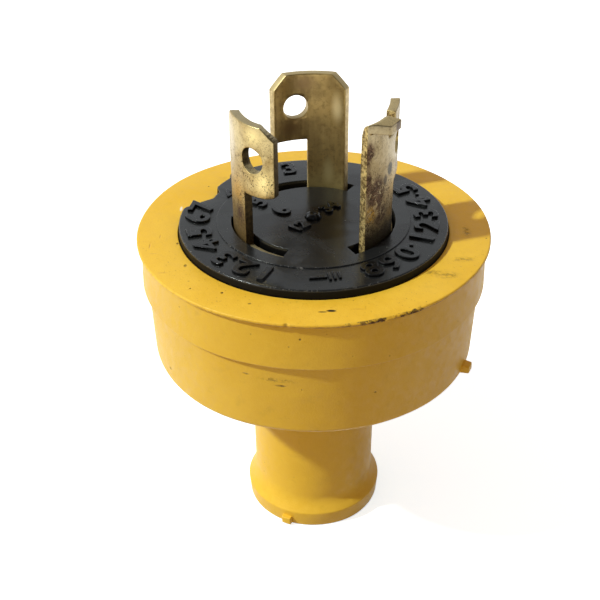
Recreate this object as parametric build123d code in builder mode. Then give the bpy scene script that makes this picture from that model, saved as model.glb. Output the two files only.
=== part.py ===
"""Three-blade locking power plug with a moulded rubber body, standing on its cable end.

Millimetres. The origin is the centre of the cable end face, +Z runs along the plug towards the
blades, and angles in plan are measured from +X towards +Y.
"""

import os
from math import cos, radians, sin

from build123d import *

os.makedirs("parts", exist_ok=True)

# Rubber body: outside
rim_z = 55.2                # flat rim, above the cable end
lip_radius = 28.5           # thin lip round the rim
lip_thickness = 0.6
lip_overhang = 0.8          # the wall starts this far inside the lip
step_radius = 27.95         # widest part of the wall, at the step
step_drop = 8.3             # from the rim down to the step
band_top_radius = 27.15     # lower band, under the step
band_bottom_radius = 26.75
head_drop = 20.9            # from the rim down to the head's lower edge
head_edge_round = 1.0
shoulder_radius = 13.4      # where the sloped underside turns into the neck
shoulder_drop = 7.6         # from the head's lower edge down to the shoulder
neck_top_radius = 10.7
neck_top_drop = 3.6         # from the shoulder down to the neck
waist_radius = 10.6
waist_z = 7.2               # narrowest part of the neck
flare_radius = 12.0         # widest part of the flared end
ring_z = 3.0                # the end ring starts under the flare
end_radius = 11.75
end_edge = 0.3

# Rubber body: inside
cable_bore_radius = 7.5
chamber_inset = 0.5         # the chamber is this much narrower than the disc
chamber_floor_drop = 12.3   # from the flange seat down to the foot of the chamber wall
well_radius = 15.5          # pocket for the cord clamp
well_drop = 15.8            # from the flange seat down to the top of the well
well_floor_drop = 17.6      # from the flange seat down to the well's floor

# Face insulator
disc_base_radius = 22.0
disc_draft = 0.4            # the disc is this much narrower at its top edge
disc_edge_round = 0.25
face_rise = 1.3             # outer ring of the face, above the rubber rim
plateau_radius = 15.6       # slightly raised middle of the face
plateau_rise = 0.2
flange_reach = 2.3          # hidden flange that sits in the groove of the rubber
flange_thickness = 3.2
flange_drop = 6.4           # from the rim down to the flange's underside
rubber_fit = 0.1            # radial room between the insulator and the rubber
dimple_radius = 1.3
dimple_depth = 0.6
dimple_taper = 20.0         # degrees

# Key of the rubber rim and notch of the disc: depths from the disc's base radius, then angles
notch_ramp_depth = 0.9
notch_floor_start_depth = 3.45
notch_floor_end_depth = 3.1
notch_wall_top_depth = 1.8
notch_shelf_end_depth = 1.1
notch_mouth_reach = 1.0     # the cut starts this far outside the disc
notch_ramp_angle = 167.5
notch_floor_start_angle = 157.0
notch_floor_end_angle = 148.2
notch_wall_top_angle = 146.0
notch_shelf_end_angle = 134.0
notch_mouth_angles = (172.0, 131.0)
notch_round = 2.2
key_clearance = 0.12

# Blades
blade_outer_radius = 12.86
blade_thickness = 1.5
blade_height = 21.4         # top of the blades above the rim
hook_height = 9.95          # underside of the hooks above the rim
hole_height = 15.8          # centre of the round holes above the rim
hole_radius = 2.05
corner_cut = 2.3            # chamfered top corners
base_sink = 0.85            # the wide base ends this far below the face
base_bevel = 0.25
base_overrun = 5.8          # degrees by which the wide base reaches past the hook
slot_outer_room = 0.34
slot_inner_room = 0.6
slot_end_room = 0.9         # degrees
slot_corner = 0.25

# Angles in plan, degrees: first edge of the stem, second edge of the stem, end of the hook,
# centre of the hole, and the slot's room before the stem
line_a_angles = (62.9, 94.8, 123.7, 104.6, 4.4)
line_b_angles = (182.6, 215.4, 242.1, 223.6, 4.2)
ground_angles = (307.7, 343.5, 376.9, 353.2, 8.7)

# Radius to which each hook is bent on its outer face: one is bent inwards, one a little outwards
line_a_curl = blade_outer_radius
line_b_curl = 7.1
ground_curl = 24.0

# Bent tab on top of the ground blade's stem
tab_underside = 20.4        # above the rim
tab_thickness = 1.1
tab_reach = 14.25           # flat outer end of the tab, from the axis
tab_angle = 329.0           # direction in which the tab points
tab_half_width = 1.75
tab_bend_radius = 1.9
relief_start = 330.5        # the relief cut between tab and hook, degrees
relief_depth = 2.2
relief_room = 1.0           # degrees by which the bend's rounding reaches into the relief cut

# Feet of the blades and their terminals
foot_reach = 19.5           # outer end of a foot, from the axis
foot_width = 12.0
terminal_radius = 16.3      # screw position on a foot
tap_radius = 2.0
thread_room = 0.05
screw_relief_radius = 2.3   # blind relief over each terminal screw
screw_relief_depth = 3.2
plate_length = 8.4
plate_width = 6.4
plate_thickness = 1.2
plate_hole_room = 0.2
terminal_head_radius = 3.4
terminal_head_height = 2.3
terminal_shank = 4.9
driver_slot_width = 0.9
driver_slot_depth = 0.9

# Terminal carrier
carrier_room = 0.3          # radial room between the carrier and the chamber
carrier_thickness = 6.8
wire_hole_radius = 8.0
window_room = 0.4           # room round the screw head and the pressure plate
channel_width = 5.0
channel_depth = 4.1
foot_room = 0.15
leg_inner_radius = 8.7
leg_outer_radius = 11.0
leg_half_angle = 13.0

# Screws that join carrier and face insulator
assembly_radius = 14.5
assembly_head_radius = 3.1
assembly_head_height = 2.0
assembly_shank_radius = 1.7
assembly_thread_length = 4.2      # length of thread in the face insulator
assembly_blind_room = 0.4
counterbore_room = 0.25
counterbore_depth = 2.4
shank_room = 0.15

# Cord clamp
clamp_radius = 15.0
clamp_height = 8.0
clamp_gap = 0.8
clamp_bore_radius = 7.4
clamp_ridge_radius = 6.7
clamp_ridge_heights = (2.2, 5.8)
clamp_ridge_half = 0.8
clamp_screw_offset = 11.0
clamp_screw_height = 4.0
clamp_screw_radius = 1.45
clamp_screw_seat = 3.5      # head seat, from the split plane
clamp_head_radius = 2.7
clamp_head_height = 2.3
clamp_nut_seat = 3.6
clamp_nut_width = 5.4
clamp_nut_thickness = 2.3
clamp_screw_tip = 0.3       # the shank stands this far out of the nut

# Moulding nubs left on the rubber
head_nub_angle = 336.0
head_nub_width = 2.6
head_nub_height = 2.2
head_nub_reach = 1.1
head_nub_rise = 0.5         # above the head's lower edge
end_nub_angle = 247.0
end_nub_width = 2.0
end_nub_height = 1.7
end_nub_reach = 0.9
end_nub_rise = 0.25
nub_root = 1.5              # depth of a nub inside the rubber
head_nub_taper = 9.0        # degrees
end_nub_taper = 4.0

# Heights and radii that follow
face_z = rim_z + face_rise
plateau_z = face_z + plateau_rise
flange_z = rim_z - flange_drop
flange_top_z = flange_z + flange_thickness
head_z = rim_z - head_drop
step_z = rim_z - step_drop
wall_top_radius = lip_radius - lip_overhang
shoulder_z = head_z - shoulder_drop
neck_top_z = shoulder_z - neck_top_drop
chamber_floor_z = flange_z - chamber_floor_drop
well_top_z = flange_z - well_drop
well_floor_z = flange_z - well_floor_drop
disc_top_radius = disc_base_radius - disc_draft
flange_radius = disc_base_radius + flange_reach
groove_radius = flange_radius + rubber_fit
face_bore_radius = disc_base_radius + rubber_fit
chamber_radius = disc_base_radius - chamber_inset
carrier_radius = chamber_radius - carrier_room
notch_mouth_radius = disc_base_radius + notch_mouth_reach
notch_ramp = (disc_base_radius - notch_ramp_depth, notch_ramp_angle)
notch_floor_start = (disc_base_radius - notch_floor_start_depth, notch_floor_start_angle)
notch_floor_end = (disc_base_radius - notch_floor_end_depth, notch_floor_end_angle)
notch_wall_top = (disc_base_radius - notch_wall_top_depth, notch_wall_top_angle)
notch_shelf_end = (disc_base_radius - notch_shelf_end_depth, notch_shelf_end_angle)
blade_inner_radius = blade_outer_radius - blade_thickness
blade_top_z = rim_z + blade_height
hook_z = rim_z + hook_height
hole_z = rim_z + hole_height
base_top_z = face_z - base_sink
slot_inner_radius = blade_inner_radius - slot_inner_room
slot_outer_radius = blade_outer_radius + slot_outer_room
foot_z = flange_z - blade_thickness
plate_z = foot_z - plate_thickness
carrier_z = flange_z - carrier_thickness
window_width = plate_length + 2 * window_room
window_start = terminal_radius - terminal_head_radius - window_room
window_end = terminal_radius + terminal_head_radius + window_room
clamp_top_z = well_floor_z + clamp_height
clamp_screw_z = well_floor_z + clamp_screw_height
tab_z = rim_z + tab_underside
tab_top_z = tab_z + tab_thickness
blade_angles = {"line_blade_a": line_a_angles, "line_blade_b": line_b_angles, "ground_blade": ground_angles}
blade_curls = {"line_blade_a": line_a_curl, "line_blade_b": line_b_curl, "ground_blade": ground_curl}


def base_end(angles):
    """Angle where the wide base of a blade ends."""
    return angles[2] + base_overrun


def terminal_angle(angles):
    """Angle of a blade's foot and terminal screw: the middle of its base."""
    return (angles[0] + base_end(angles)) / 2


terminal_angles = [terminal_angle(angles) for angles in blade_angles.values()]
gap_angles = [
    (first + second) / 2
    for first, second in zip(terminal_angles, terminal_angles[1:] + [terminal_angles[0] + 360.0])
]


def polar(radius, angle):
    """Point in plan at a radius and an angle in degrees."""
    return (radius * cos(radians(angle)), radius * sin(radians(angle)))


def radial_plane(angle, z, radius=0.0):
    """Plane that faces outwards at an angle: its x runs along the circumference, its y upwards."""
    x, y = polar(radius, angle)
    return Plane(
        origin=(x, y, z),
        x_dir=(-sin(radians(angle)), cos(radians(angle)), 0),
        z_dir=(cos(radians(angle)), sin(radians(angle)), 0),
    )


def turned_plane(angle, z):
    """Horizontal plane whose x axis points outwards at an angle."""
    return Plane(origin=(0, 0, z), x_dir=(cos(radians(angle)), sin(radians(angle)), 0), z_dir=(0, 0, 1))


def ring_sector(inner, outer, start, end):
    """Sketch of the piece of a ring between two radii and two angles."""
    middle = (start + end) / 2
    with BuildSketch() as sector:
        with BuildLine():
            ThreePointArc(polar(inner, start), polar(inner, middle), polar(inner, end))
            Line(polar(inner, end), polar(outer, end))
            ThreePointArc(polar(outer, end), polar(outer, middle), polar(outer, start))
            Line(polar(outer, start), polar(inner, start))
        make_face()
    return sector.sketch


def notch_outline():
    """Sketch of the notch in the edge of the disc."""
    with BuildSketch() as notch:
        with BuildLine():
            Polyline(
                polar(notch_mouth_radius, notch_mouth_angles[0]),
                polar(*notch_ramp),
                polar(*notch_floor_start),
                polar(*notch_floor_end),
                polar(*notch_wall_top),
                polar(*notch_shelf_end),
                polar(notch_mouth_radius, notch_mouth_angles[1]),
                close=True,
            )
        make_face()
        for corner in (notch_ramp, notch_floor_start):
            fillet(notch.vertices().sort_by_distance(polar(*corner))[0], notch_round)
    return notch.sketch


def key_outline():
    """Sketch of the key of the rubber rim: the notch with some room, joined to the rim."""
    with BuildSketch() as key:
        add(notch_outline())
        offset(amount=-key_clearance)
        add(ring_sector(face_bore_radius, notch_mouth_radius, notch_mouth_angles[1], notch_mouth_angles[0]))
    return key.sketch


# Rubber body
with BuildPart() as rubber_body:
    with BuildSketch(Plane.XZ) as body_section:
        with BuildLine():
            Polyline(
                (0, 0),
                (end_radius - end_edge, 0),
                (end_radius, end_edge),
                (flare_radius, ring_z),
            )
            TangentArc((waist_radius, waist_z), (flare_radius, ring_z), tangent=(0, -1))
            Line((waist_radius, waist_z), (neck_top_radius, neck_top_z))
            Spline(
                (neck_top_radius, neck_top_z),
                (shoulder_radius, shoulder_z),
                tangents=((0, 1), (band_bottom_radius - shoulder_radius, shoulder_drop)),
            )
            Polyline(
                (shoulder_radius, shoulder_z),
                (band_bottom_radius, head_z),
                (band_top_radius, step_z),
                (step_radius, step_z),
                (wall_top_radius, rim_z - lip_thickness),
                (lip_radius, rim_z - lip_thickness),
                (lip_radius, rim_z),
                (0, rim_z),
                (0, 0),
            )
        make_face()
        fillet(body_section.vertices().sort_by_distance((band_bottom_radius, head_z))[0], head_edge_round)
    revolve(axis=Axis.Z)
    with BuildSketch(Plane.XZ):
        with BuildLine():
            Polyline(
                (0, 0),
                (cable_bore_radius, 0),
                (cable_bore_radius, well_floor_z),
                (well_radius, well_floor_z),
                (well_radius, well_top_z),
                (chamber_radius, chamber_floor_z),
                (chamber_radius, flange_z),
                (groove_radius, flange_z),
                (groove_radius, flange_top_z),
                (face_bore_radius, flange_top_z),
                (face_bore_radius, rim_z),
                (0, rim_z),
                close=True,
            )
        make_face()
    revolve(axis=Axis.Z, mode=Mode.SUBTRACT)
    with BuildSketch(Plane.XY.offset(flange_top_z)):
        add(key_outline())
    extrude(amount=rim_z - flange_top_z)
    with BuildSketch(radial_plane(head_nub_angle, head_z + head_nub_rise, band_bottom_radius - nub_root)):
        with Locations((0, head_nub_height / 2)):
            Rectangle(head_nub_width, head_nub_height)
    extrude(amount=nub_root + head_nub_reach, taper=head_nub_taper)
    with BuildSketch(radial_plane(end_nub_angle, end_nub_rise, end_radius - nub_root)):
        with Locations((0, end_nub_height / 2)):
            Rectangle(end_nub_width, end_nub_height)
    extrude(amount=nub_root + end_nub_reach, taper=end_nub_taper)
rubber_body.part.label = "rubber_body"
export_step(rubber_body.part, "parts/rubber_body.step")


# Face insulator
with BuildPart() as face_insulator:
    with BuildSketch(Plane.XZ) as disc_section:
        with BuildLine():
            Polyline(
                (0, flange_z),
                (flange_radius, flange_z),
                (flange_radius, flange_top_z),
                (disc_base_radius, flange_top_z),
                (disc_base_radius, rim_z),
                (disc_top_radius, face_z),
                (plateau_radius, face_z),
                (plateau_radius, plateau_z),
                (0, plateau_z),
                close=True,
            )
        make_face()
        fillet(disc_section.vertices().sort_by_distance((disc_top_radius, face_z))[0], disc_edge_round)
    revolve(axis=Axis.Z)
    with BuildSketch(Plane.XY.offset(flange_top_z)):
        add(notch_outline())
    extrude(amount=face_z, mode=Mode.SUBTRACT)
    for angles in blade_angles.values():
        with BuildSketch(Plane.XY.offset(flange_z)) as slot:
            slot_start = angles[0] - angles[4]
            slot_end = base_end(angles) + slot_end_room
            add(ring_sector(slot_inner_radius, slot_outer_radius, slot_start, slot_end))
            fillet(slot.vertices(), slot_corner)
        extrude(amount=plateau_z, mode=Mode.SUBTRACT)
    with BuildSketch(Plane.XY.offset(flange_z)):
        with Locations([polar(terminal_radius, angle) for angle in terminal_angles]):
            Circle(screw_relief_radius)
    extrude(amount=screw_relief_depth, mode=Mode.SUBTRACT)
    with BuildSketch(Plane.XY.offset(flange_z)):
        with Locations([polar(assembly_radius, angle) for angle in gap_angles]):
            Circle(assembly_shank_radius + thread_room)
    extrude(amount=assembly_thread_length + assembly_blind_room, mode=Mode.SUBTRACT)
    with BuildSketch(Plane.XY.offset(plateau_z)):
        Circle(dimple_radius)
    extrude(amount=-dimple_depth, taper=dimple_taper, mode=Mode.SUBTRACT)
face_insulator.part.label = "face_insulator"
export_step(face_insulator.part, "parts/face_insulator.step")


def foot(angles):
    """Flat foot at the lower end of a blade, with its tapped hole."""
    with BuildPart() as plate:
        with BuildSketch(turned_plane(terminal_angle(angles), foot_z)):
            with Locations((foot_reach / 2, 0)):
                Rectangle(foot_reach, foot_width)
            Circle(blade_inner_radius, mode=Mode.SUBTRACT)
            with Locations((terminal_radius, 0)):
                Circle(tap_radius, mode=Mode.SUBTRACT)
        extrude(amount=blade_thickness)
    return plate.part


def clearing(start, end, z, top):
    """Block that clears a blade between two angles and two heights."""
    with BuildPart() as block:
        with BuildSketch(Plane.XY.offset(z)):
            inner = blade_inner_radius - blade_thickness
            add(ring_sector(inner, blade_outer_radius + blade_thickness, start, end))
        extrude(amount=top - z)
    return block.part


def corner_wedge(angle, side, outer_radius):
    """Wedge that chamfers a top corner: side is 1 at the far end of a blade and -1 at its near end."""
    with BuildPart() as wedge:
        with BuildSketch(radial_plane(angle, blade_top_z, outer_radius - 2 * blade_thickness)):
            with BuildLine():
                Polyline(
                    (side * corner_cut, corner_cut),
                    (-side * 2 * corner_cut, corner_cut),
                    (side * corner_cut, -2 * corner_cut),
                    close=True,
                )
            make_face()
        extrude(amount=3 * blade_thickness)
    return wedge.part


def hole_punch(angle, outer_radius):
    """Punch for the round hole of a blade."""
    with BuildPart() as punch:
        with BuildSketch(radial_plane(angle, hole_z, outer_radius - 2 * blade_thickness)):
            Circle(hole_radius)
        extrude(amount=3 * blade_thickness)
    return punch.part


def curl_place(angles, curl):
    """Place of the centre of a hook's own curve, which leaves the stem without a kink."""
    return Location((*polar(blade_outer_radius - curl, angles[1]), 0))


def curled_angle(angles, curl, angle):
    """Angle on a hook's own curve for an angle on the circle of the blades."""
    return angles[1] + (angle - angles[1]) * blade_outer_radius / curl


def blade_plate(angles, curl, top_z):
    """Stem up to a height, wide base and hook of a blade, before its cuts."""
    with BuildPart() as hook:
        with BuildSketch(Plane.XY.offset(hook_z)):
            hook_end = curled_angle(angles, curl, angles[2])
            add(ring_sector(curl - blade_thickness, curl, angles[1], hook_end))
        extrude(amount=blade_top_z - hook_z)
    curled_hook = hook.part.moved(curl_place(angles, curl))
    with BuildPart() as plate:
        with BuildSketch(Plane.XY.offset(flange_z)):
            add(ring_sector(blade_inner_radius, blade_outer_radius, angles[0], angles[1]))
        extrude(amount=top_z - flange_z)
        with BuildSketch(Plane.XY.offset(flange_z)):
            add(ring_sector(blade_inner_radius, blade_outer_radius, angles[0], base_end(angles)))
        extrude(amount=base_top_z - flange_z)
        add(curled_hook)
    return plate.part


def hook_cutters(angles, curl):
    """Chamfer at the end of a hook and its round hole."""
    wedge = corner_wedge(curled_angle(angles, curl, angles[2]), 1, curl)
    punch = hole_punch(curled_angle(angles, curl, angles[3]), curl)
    return [wedge.moved(curl_place(angles, curl)), punch.moved(curl_place(angles, curl))]


def base_bevel_ring(angles):
    """Bevel along the outer edge of the wide base, where it shows in its slot."""
    with BuildPart() as ring:
        with BuildSketch(Plane.XZ):
            with BuildLine():
                Polyline(
                    (blade_outer_radius - base_bevel, base_top_z),
                    (blade_outer_radius + base_bevel, base_top_z),
                    (blade_outer_radius + base_bevel, base_top_z - 2 * base_bevel),
                    close=True,
                )
            make_face()
        revolve(axis=Axis.Z)
        with BuildSketch(Plane.XY.offset(flange_z)):
            beyond = base_end(angles) + base_overrun
            add(ring_sector(slot_inner_radius, slot_outer_radius, angles[1], beyond))
        extrude(amount=base_top_z - flange_z, mode=Mode.INTERSECT)
    return ring.part


# Line blades
for blade_name in ("line_blade_a", "line_blade_b"):
    angles = blade_angles[blade_name]
    curl = blade_curls[blade_name]
    cutters = hook_cutters(angles, curl)
    cutters += [corner_wedge(angles[0], -1, blade_outer_radius), base_bevel_ring(angles)]
    blade_body = blade_plate(angles, curl, blade_top_z)
    blade_foot = foot(angles)
    with BuildPart() as line_blade:
        add(blade_body)
        add(cutters, mode=Mode.SUBTRACT)
        add(blade_foot)
    line_blade.part.label = blade_name
    export_step(line_blade.part, f"parts/{blade_name}.step")


def tab_outline():
    """Sketch of the ground blade's bent tab: its first side leans back to the edge of the stem."""
    near_angle = ground_angles[0] - tab_angle
    far_angle = relief_start - tab_angle
    root_radius = blade_outer_radius - blade_thickness / 2
    with BuildSketch() as tab:
        with BuildLine():
            Polyline(
                polar(root_radius, far_angle),
                polar(root_radius, near_angle),
                polar(blade_outer_radius, near_angle),
                (tab_reach, -tab_half_width),
                (tab_reach, tab_half_width),
                polar(blade_outer_radius, far_angle),
                close=True,
            )
        make_face()
    return tab.sketch


def bend_ring():
    """What lies outside the rounded bend between stem and tab, on the blade's inner side."""
    with BuildPart() as ring:
        with BuildSketch(Plane.XZ):
            with BuildLine():
                Line((blade_inner_radius, tab_top_z - tab_bend_radius), (blade_inner_radius, tab_top_z))
                Line((blade_inner_radius, tab_top_z), (blade_inner_radius + tab_bend_radius, tab_top_z))
                RadiusArc(
                    (blade_inner_radius + tab_bend_radius, tab_top_z),
                    (blade_inner_radius, tab_top_z - tab_bend_radius),
                    -tab_bend_radius,
                )
            make_face()
        revolve(axis=Axis.Z)
        with BuildSketch(Plane.XY.offset(tab_z - tab_bend_radius)):
            inner = blade_inner_radius - blade_thickness
            outer = blade_outer_radius + blade_thickness
            add(ring_sector(inner, outer, ground_angles[0] - base_overrun, relief_start + relief_room))
        extrude(amount=3 * tab_bend_radius, mode=Mode.INTERSECT)
    return ring.part


# Ground blade
ground_cutters = hook_cutters(ground_angles, ground_curl)
ground_cutters += [
    clearing(relief_start, ground_angles[1], tab_z - relief_depth, tab_top_z),
    base_bevel_ring(ground_angles),
    bend_ring(),
]
ground_body = blade_plate(ground_angles, ground_curl, tab_top_z)
ground_foot = foot(ground_angles)
with BuildPart() as ground_blade:
    add(ground_body)
    with BuildSketch(turned_plane(tab_angle, tab_z)):
        add(tab_outline())
    extrude(amount=tab_thickness)
    add(ground_cutters, mode=Mode.SUBTRACT)
    add(ground_foot)
ground_blade.part.label = "ground_blade"
export_step(ground_blade.part, "parts/ground_blade.step")


# Terminal carrier
with BuildPart() as terminal_carrier:
    with BuildSketch(Plane.XY.offset(carrier_z)):
        Circle(carrier_radius)
        Circle(wire_hole_radius, mode=Mode.SUBTRACT)
    extrude(amount=carrier_thickness)
    for angle in terminal_angles:
        with BuildSketch(turned_plane(angle, carrier_z)):
            with Locations(((window_start + window_end) / 2, 0)):
                Rectangle(window_end - window_start, window_width)
        extrude(amount=carrier_thickness, mode=Mode.SUBTRACT)
        with BuildSketch(turned_plane(angle, carrier_z)):
            with Locations((window_start / 2, 0)):
                Rectangle(window_start, channel_width)
        extrude(amount=channel_depth, mode=Mode.SUBTRACT)
        with BuildSketch(turned_plane(angle, foot_z)):
            with Locations(((foot_reach + foot_room) / 2, 0)):
                Rectangle(foot_reach + foot_room, foot_width + 2 * foot_room)
        extrude(amount=blade_thickness, mode=Mode.SUBTRACT)
    with BuildSketch(Plane.XY.offset(carrier_z)):
        with Locations([polar(assembly_radius, angle) for angle in gap_angles]):
            Circle(assembly_shank_radius + shank_room)
    extrude(amount=carrier_thickness, mode=Mode.SUBTRACT)
    with BuildSketch(Plane.XY.offset(carrier_z)):
        with Locations([polar(assembly_radius, angle) for angle in gap_angles]):
            Circle(assembly_head_radius + counterbore_room)
    extrude(amount=counterbore_depth, mode=Mode.SUBTRACT)
    for angle in gap_angles:
        with BuildSketch(Plane.XY.offset(clamp_top_z)):
            leg_ends = (angle - leg_half_angle, angle + leg_half_angle)
            add(ring_sector(leg_inner_radius, leg_outer_radius, *leg_ends))
        extrude(amount=carrier_z - clamp_top_z)
terminal_carrier.part.label = "terminal_carrier"
export_step(terminal_carrier.part, "parts/terminal_carrier.step")


# Pressure plates and terminal screws, one pair for each foot
terminal_names = ("a", "b", "ground")
for terminal_name, angle in zip(terminal_names, terminal_angles):
    with BuildPart() as pressure_plate:
        with BuildSketch(turned_plane(angle, plate_z)) as plate_outline:
            with Locations((terminal_radius, 0)):
                Rectangle(plate_width, plate_length)
            fillet(plate_outline.vertices(), plate_thickness / 2)
            with Locations((terminal_radius, 0)):
                Circle(tap_radius + plate_hole_room, mode=Mode.SUBTRACT)
        extrude(amount=plate_thickness)
    pressure_plate.part.label = f"pressure_plate_{terminal_name}"
    export_step(pressure_plate.part, f"parts/pressure_plate_{terminal_name}.step")

    with BuildPart() as terminal_screw:
        with BuildSketch(turned_plane(angle, plate_z - terminal_head_height)):
            with Locations((terminal_radius, 0)):
                Circle(terminal_head_radius)
        extrude(amount=terminal_head_height)
        head_edge = terminal_screw.faces().sort_by(Axis.Z)[0].edges()
        fillet(head_edge, terminal_head_height / 3)
        with BuildSketch(turned_plane(angle, plate_z)):
            with Locations((terminal_radius, 0)):
                Circle(tap_radius - thread_room)
        extrude(amount=terminal_shank)
        with BuildSketch(turned_plane(angle, plate_z - terminal_head_height)):
            with Locations((terminal_radius, 0)):
                Rectangle(driver_slot_width, 3 * terminal_head_radius)
        extrude(amount=driver_slot_depth, mode=Mode.SUBTRACT)
    terminal_screw.part.label = f"terminal_screw_{terminal_name}"
    export_step(terminal_screw.part, f"parts/terminal_screw_{terminal_name}.step")


# Assembly screws between the terminals
assembly_seat_z = carrier_z + counterbore_depth
for number, angle in enumerate(gap_angles, start=1):
    with BuildPart() as assembly_screw:
        with BuildSketch(turned_plane(angle, assembly_seat_z - assembly_head_height)):
            with Locations((assembly_radius, 0)):
                Circle(assembly_head_radius)
        extrude(amount=assembly_head_height)
        with BuildSketch(turned_plane(angle, assembly_seat_z)):
            with Locations((assembly_radius, 0)):
                Circle(assembly_shank_radius)
        extrude(amount=flange_z + assembly_thread_length - assembly_seat_z)
        shank_end = assembly_screw.faces().sort_by(Axis.Z)[-1].edges()
        chamfer(shank_end, assembly_shank_radius / 3)
        with BuildSketch(turned_plane(angle, assembly_seat_z - assembly_head_height)):
            with Locations((assembly_radius, 0)):
                Rectangle(driver_slot_width, assembly_head_radius)
                Rectangle(assembly_head_radius, driver_slot_width)
        extrude(amount=driver_slot_depth, mode=Mode.SUBTRACT)
    assembly_screw.part.label = f"assembly_screw_{number}"
    export_step(assembly_screw.part, f"parts/assembly_screw_{number}.step")


# Cord clamp halves: the right one takes the screw heads, the left one the nuts
for clamp_side, sign in (("left", -1), ("right", 1)):
    with BuildPart() as cord_clamp:
        with BuildSketch(Plane.XZ):
            with BuildLine():
                low, high = (well_floor_z + height for height in clamp_ridge_heights)
                Polyline(
                    (clamp_bore_radius, well_floor_z),
                    (clamp_radius, well_floor_z),
                    (clamp_radius, clamp_top_z),
                    (clamp_bore_radius, clamp_top_z),
                    (clamp_bore_radius, high + clamp_ridge_half),
                    (clamp_ridge_radius, high),
                    (clamp_bore_radius, high - clamp_ridge_half),
                    (clamp_bore_radius, low + clamp_ridge_half),
                    (clamp_ridge_radius, low),
                    (clamp_bore_radius, low - clamp_ridge_half),
                    close=True,
                )
            make_face()
        revolve(axis=Axis.Z)
        with BuildSketch(Plane.YZ.offset(sign * clamp_gap / 2)):
            with Locations((0, clamp_screw_z)):
                Rectangle(3 * clamp_radius, 3 * clamp_height)
        extrude(amount=-sign * 2 * clamp_radius, mode=Mode.SUBTRACT)
        with BuildSketch(Plane.YZ):
            with Locations((clamp_screw_offset, clamp_screw_z), (-clamp_screw_offset, clamp_screw_z)):
                Circle(clamp_screw_radius + shank_room)
        extrude(amount=sign * clamp_radius, mode=Mode.SUBTRACT)
        seat = clamp_screw_seat if sign > 0 else clamp_nut_seat
        with BuildSketch(Plane.YZ.offset(sign * seat)):
            with Locations((clamp_screw_offset, clamp_screw_z), (-clamp_screw_offset, clamp_screw_z)):
                if sign > 0:
                    Circle(clamp_head_radius + counterbore_room)
                else:
                    Rectangle(clamp_nut_width + shank_room, clamp_nut_width + shank_room)
        extrude(amount=sign * clamp_radius, mode=Mode.SUBTRACT)
    cord_clamp.part.label = f"cord_clamp_{clamp_side}"
    export_step(cord_clamp.part, f"parts/cord_clamp_{clamp_side}.step")


# Clamp screws and nuts, in front of and behind the cord
for clamp_end, y in (("front", -clamp_screw_offset), ("rear", clamp_screw_offset)):
    with BuildPart() as clamp_screw:
        with BuildSketch(Plane.YZ.offset(clamp_screw_seat)):
            with Locations((y, clamp_screw_z)):
                Circle(clamp_head_radius)
        extrude(amount=clamp_head_height)
        head_edge = clamp_screw.faces().sort_by(Axis.X)[-1].edges()
        fillet(head_edge, clamp_head_height / 3)
        with BuildSketch(Plane.YZ.offset(clamp_screw_seat)):
            with Locations((y, clamp_screw_z)):
                Circle(clamp_screw_radius)
        extrude(amount=-(clamp_screw_seat + clamp_nut_seat + clamp_nut_thickness + clamp_screw_tip))
        with BuildSketch(Plane.YZ.offset(clamp_screw_seat + clamp_head_height)):
            with Locations((y, clamp_screw_z)):
                Rectangle(3 * clamp_head_radius, driver_slot_width)
        extrude(amount=-driver_slot_depth, mode=Mode.SUBTRACT)
    clamp_screw.part.label = f"clamp_screw_{clamp_end}"
    export_step(clamp_screw.part, f"parts/clamp_screw_{clamp_end}.step")

    with BuildPart() as clamp_nut:
        with BuildSketch(Plane.YZ.offset(-clamp_nut_seat)):
            with Locations((y, clamp_screw_z)):
                Rectangle(clamp_nut_width, clamp_nut_width)
                Circle(clamp_screw_radius + thread_room, mode=Mode.SUBTRACT)
        extrude(amount=-clamp_nut_thickness)
    clamp_nut.part.label = f"clamp_nut_{clamp_end}"
    export_step(clamp_nut.part, f"parts/clamp_nut_{clamp_end}.step")
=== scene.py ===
"""Dressed model of a locking power plug: yellow rubber body, black contact face, brass blades.

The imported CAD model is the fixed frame. Every piece is built in metres in that frame and rides on
its one body. The file is laid out as an add-on and is run as a script.
"""

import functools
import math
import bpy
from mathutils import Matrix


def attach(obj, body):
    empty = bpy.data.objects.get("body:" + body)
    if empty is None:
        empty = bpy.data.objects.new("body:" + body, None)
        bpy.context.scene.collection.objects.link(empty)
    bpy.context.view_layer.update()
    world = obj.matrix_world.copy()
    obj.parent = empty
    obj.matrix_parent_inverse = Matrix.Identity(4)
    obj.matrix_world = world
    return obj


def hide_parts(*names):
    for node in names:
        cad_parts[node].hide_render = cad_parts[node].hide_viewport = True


bl_info = {
    "name": "Locking power plug",
    "version": (1, 0, 0),
    "blender": (4, 5, 0),
    "location": "3D View > Sidebar > Plug",
    "description": "Builds the plug's rubber body, contact face, blades, inner parts and stage",
    "category": "Add Mesh",
}

import bmesh
import bpy
from bpy.props import FloatProperty, FloatVectorProperty, PointerProperty, StringProperty
from mathutils import Matrix, Vector, noise

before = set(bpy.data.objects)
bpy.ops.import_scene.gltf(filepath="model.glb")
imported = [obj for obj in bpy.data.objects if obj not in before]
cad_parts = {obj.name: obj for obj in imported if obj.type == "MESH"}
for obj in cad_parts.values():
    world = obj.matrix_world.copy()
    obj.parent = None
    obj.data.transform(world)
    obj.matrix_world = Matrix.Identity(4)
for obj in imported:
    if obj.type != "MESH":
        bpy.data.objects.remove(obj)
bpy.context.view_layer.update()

MM = 0.001
BODY = "root"

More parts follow.
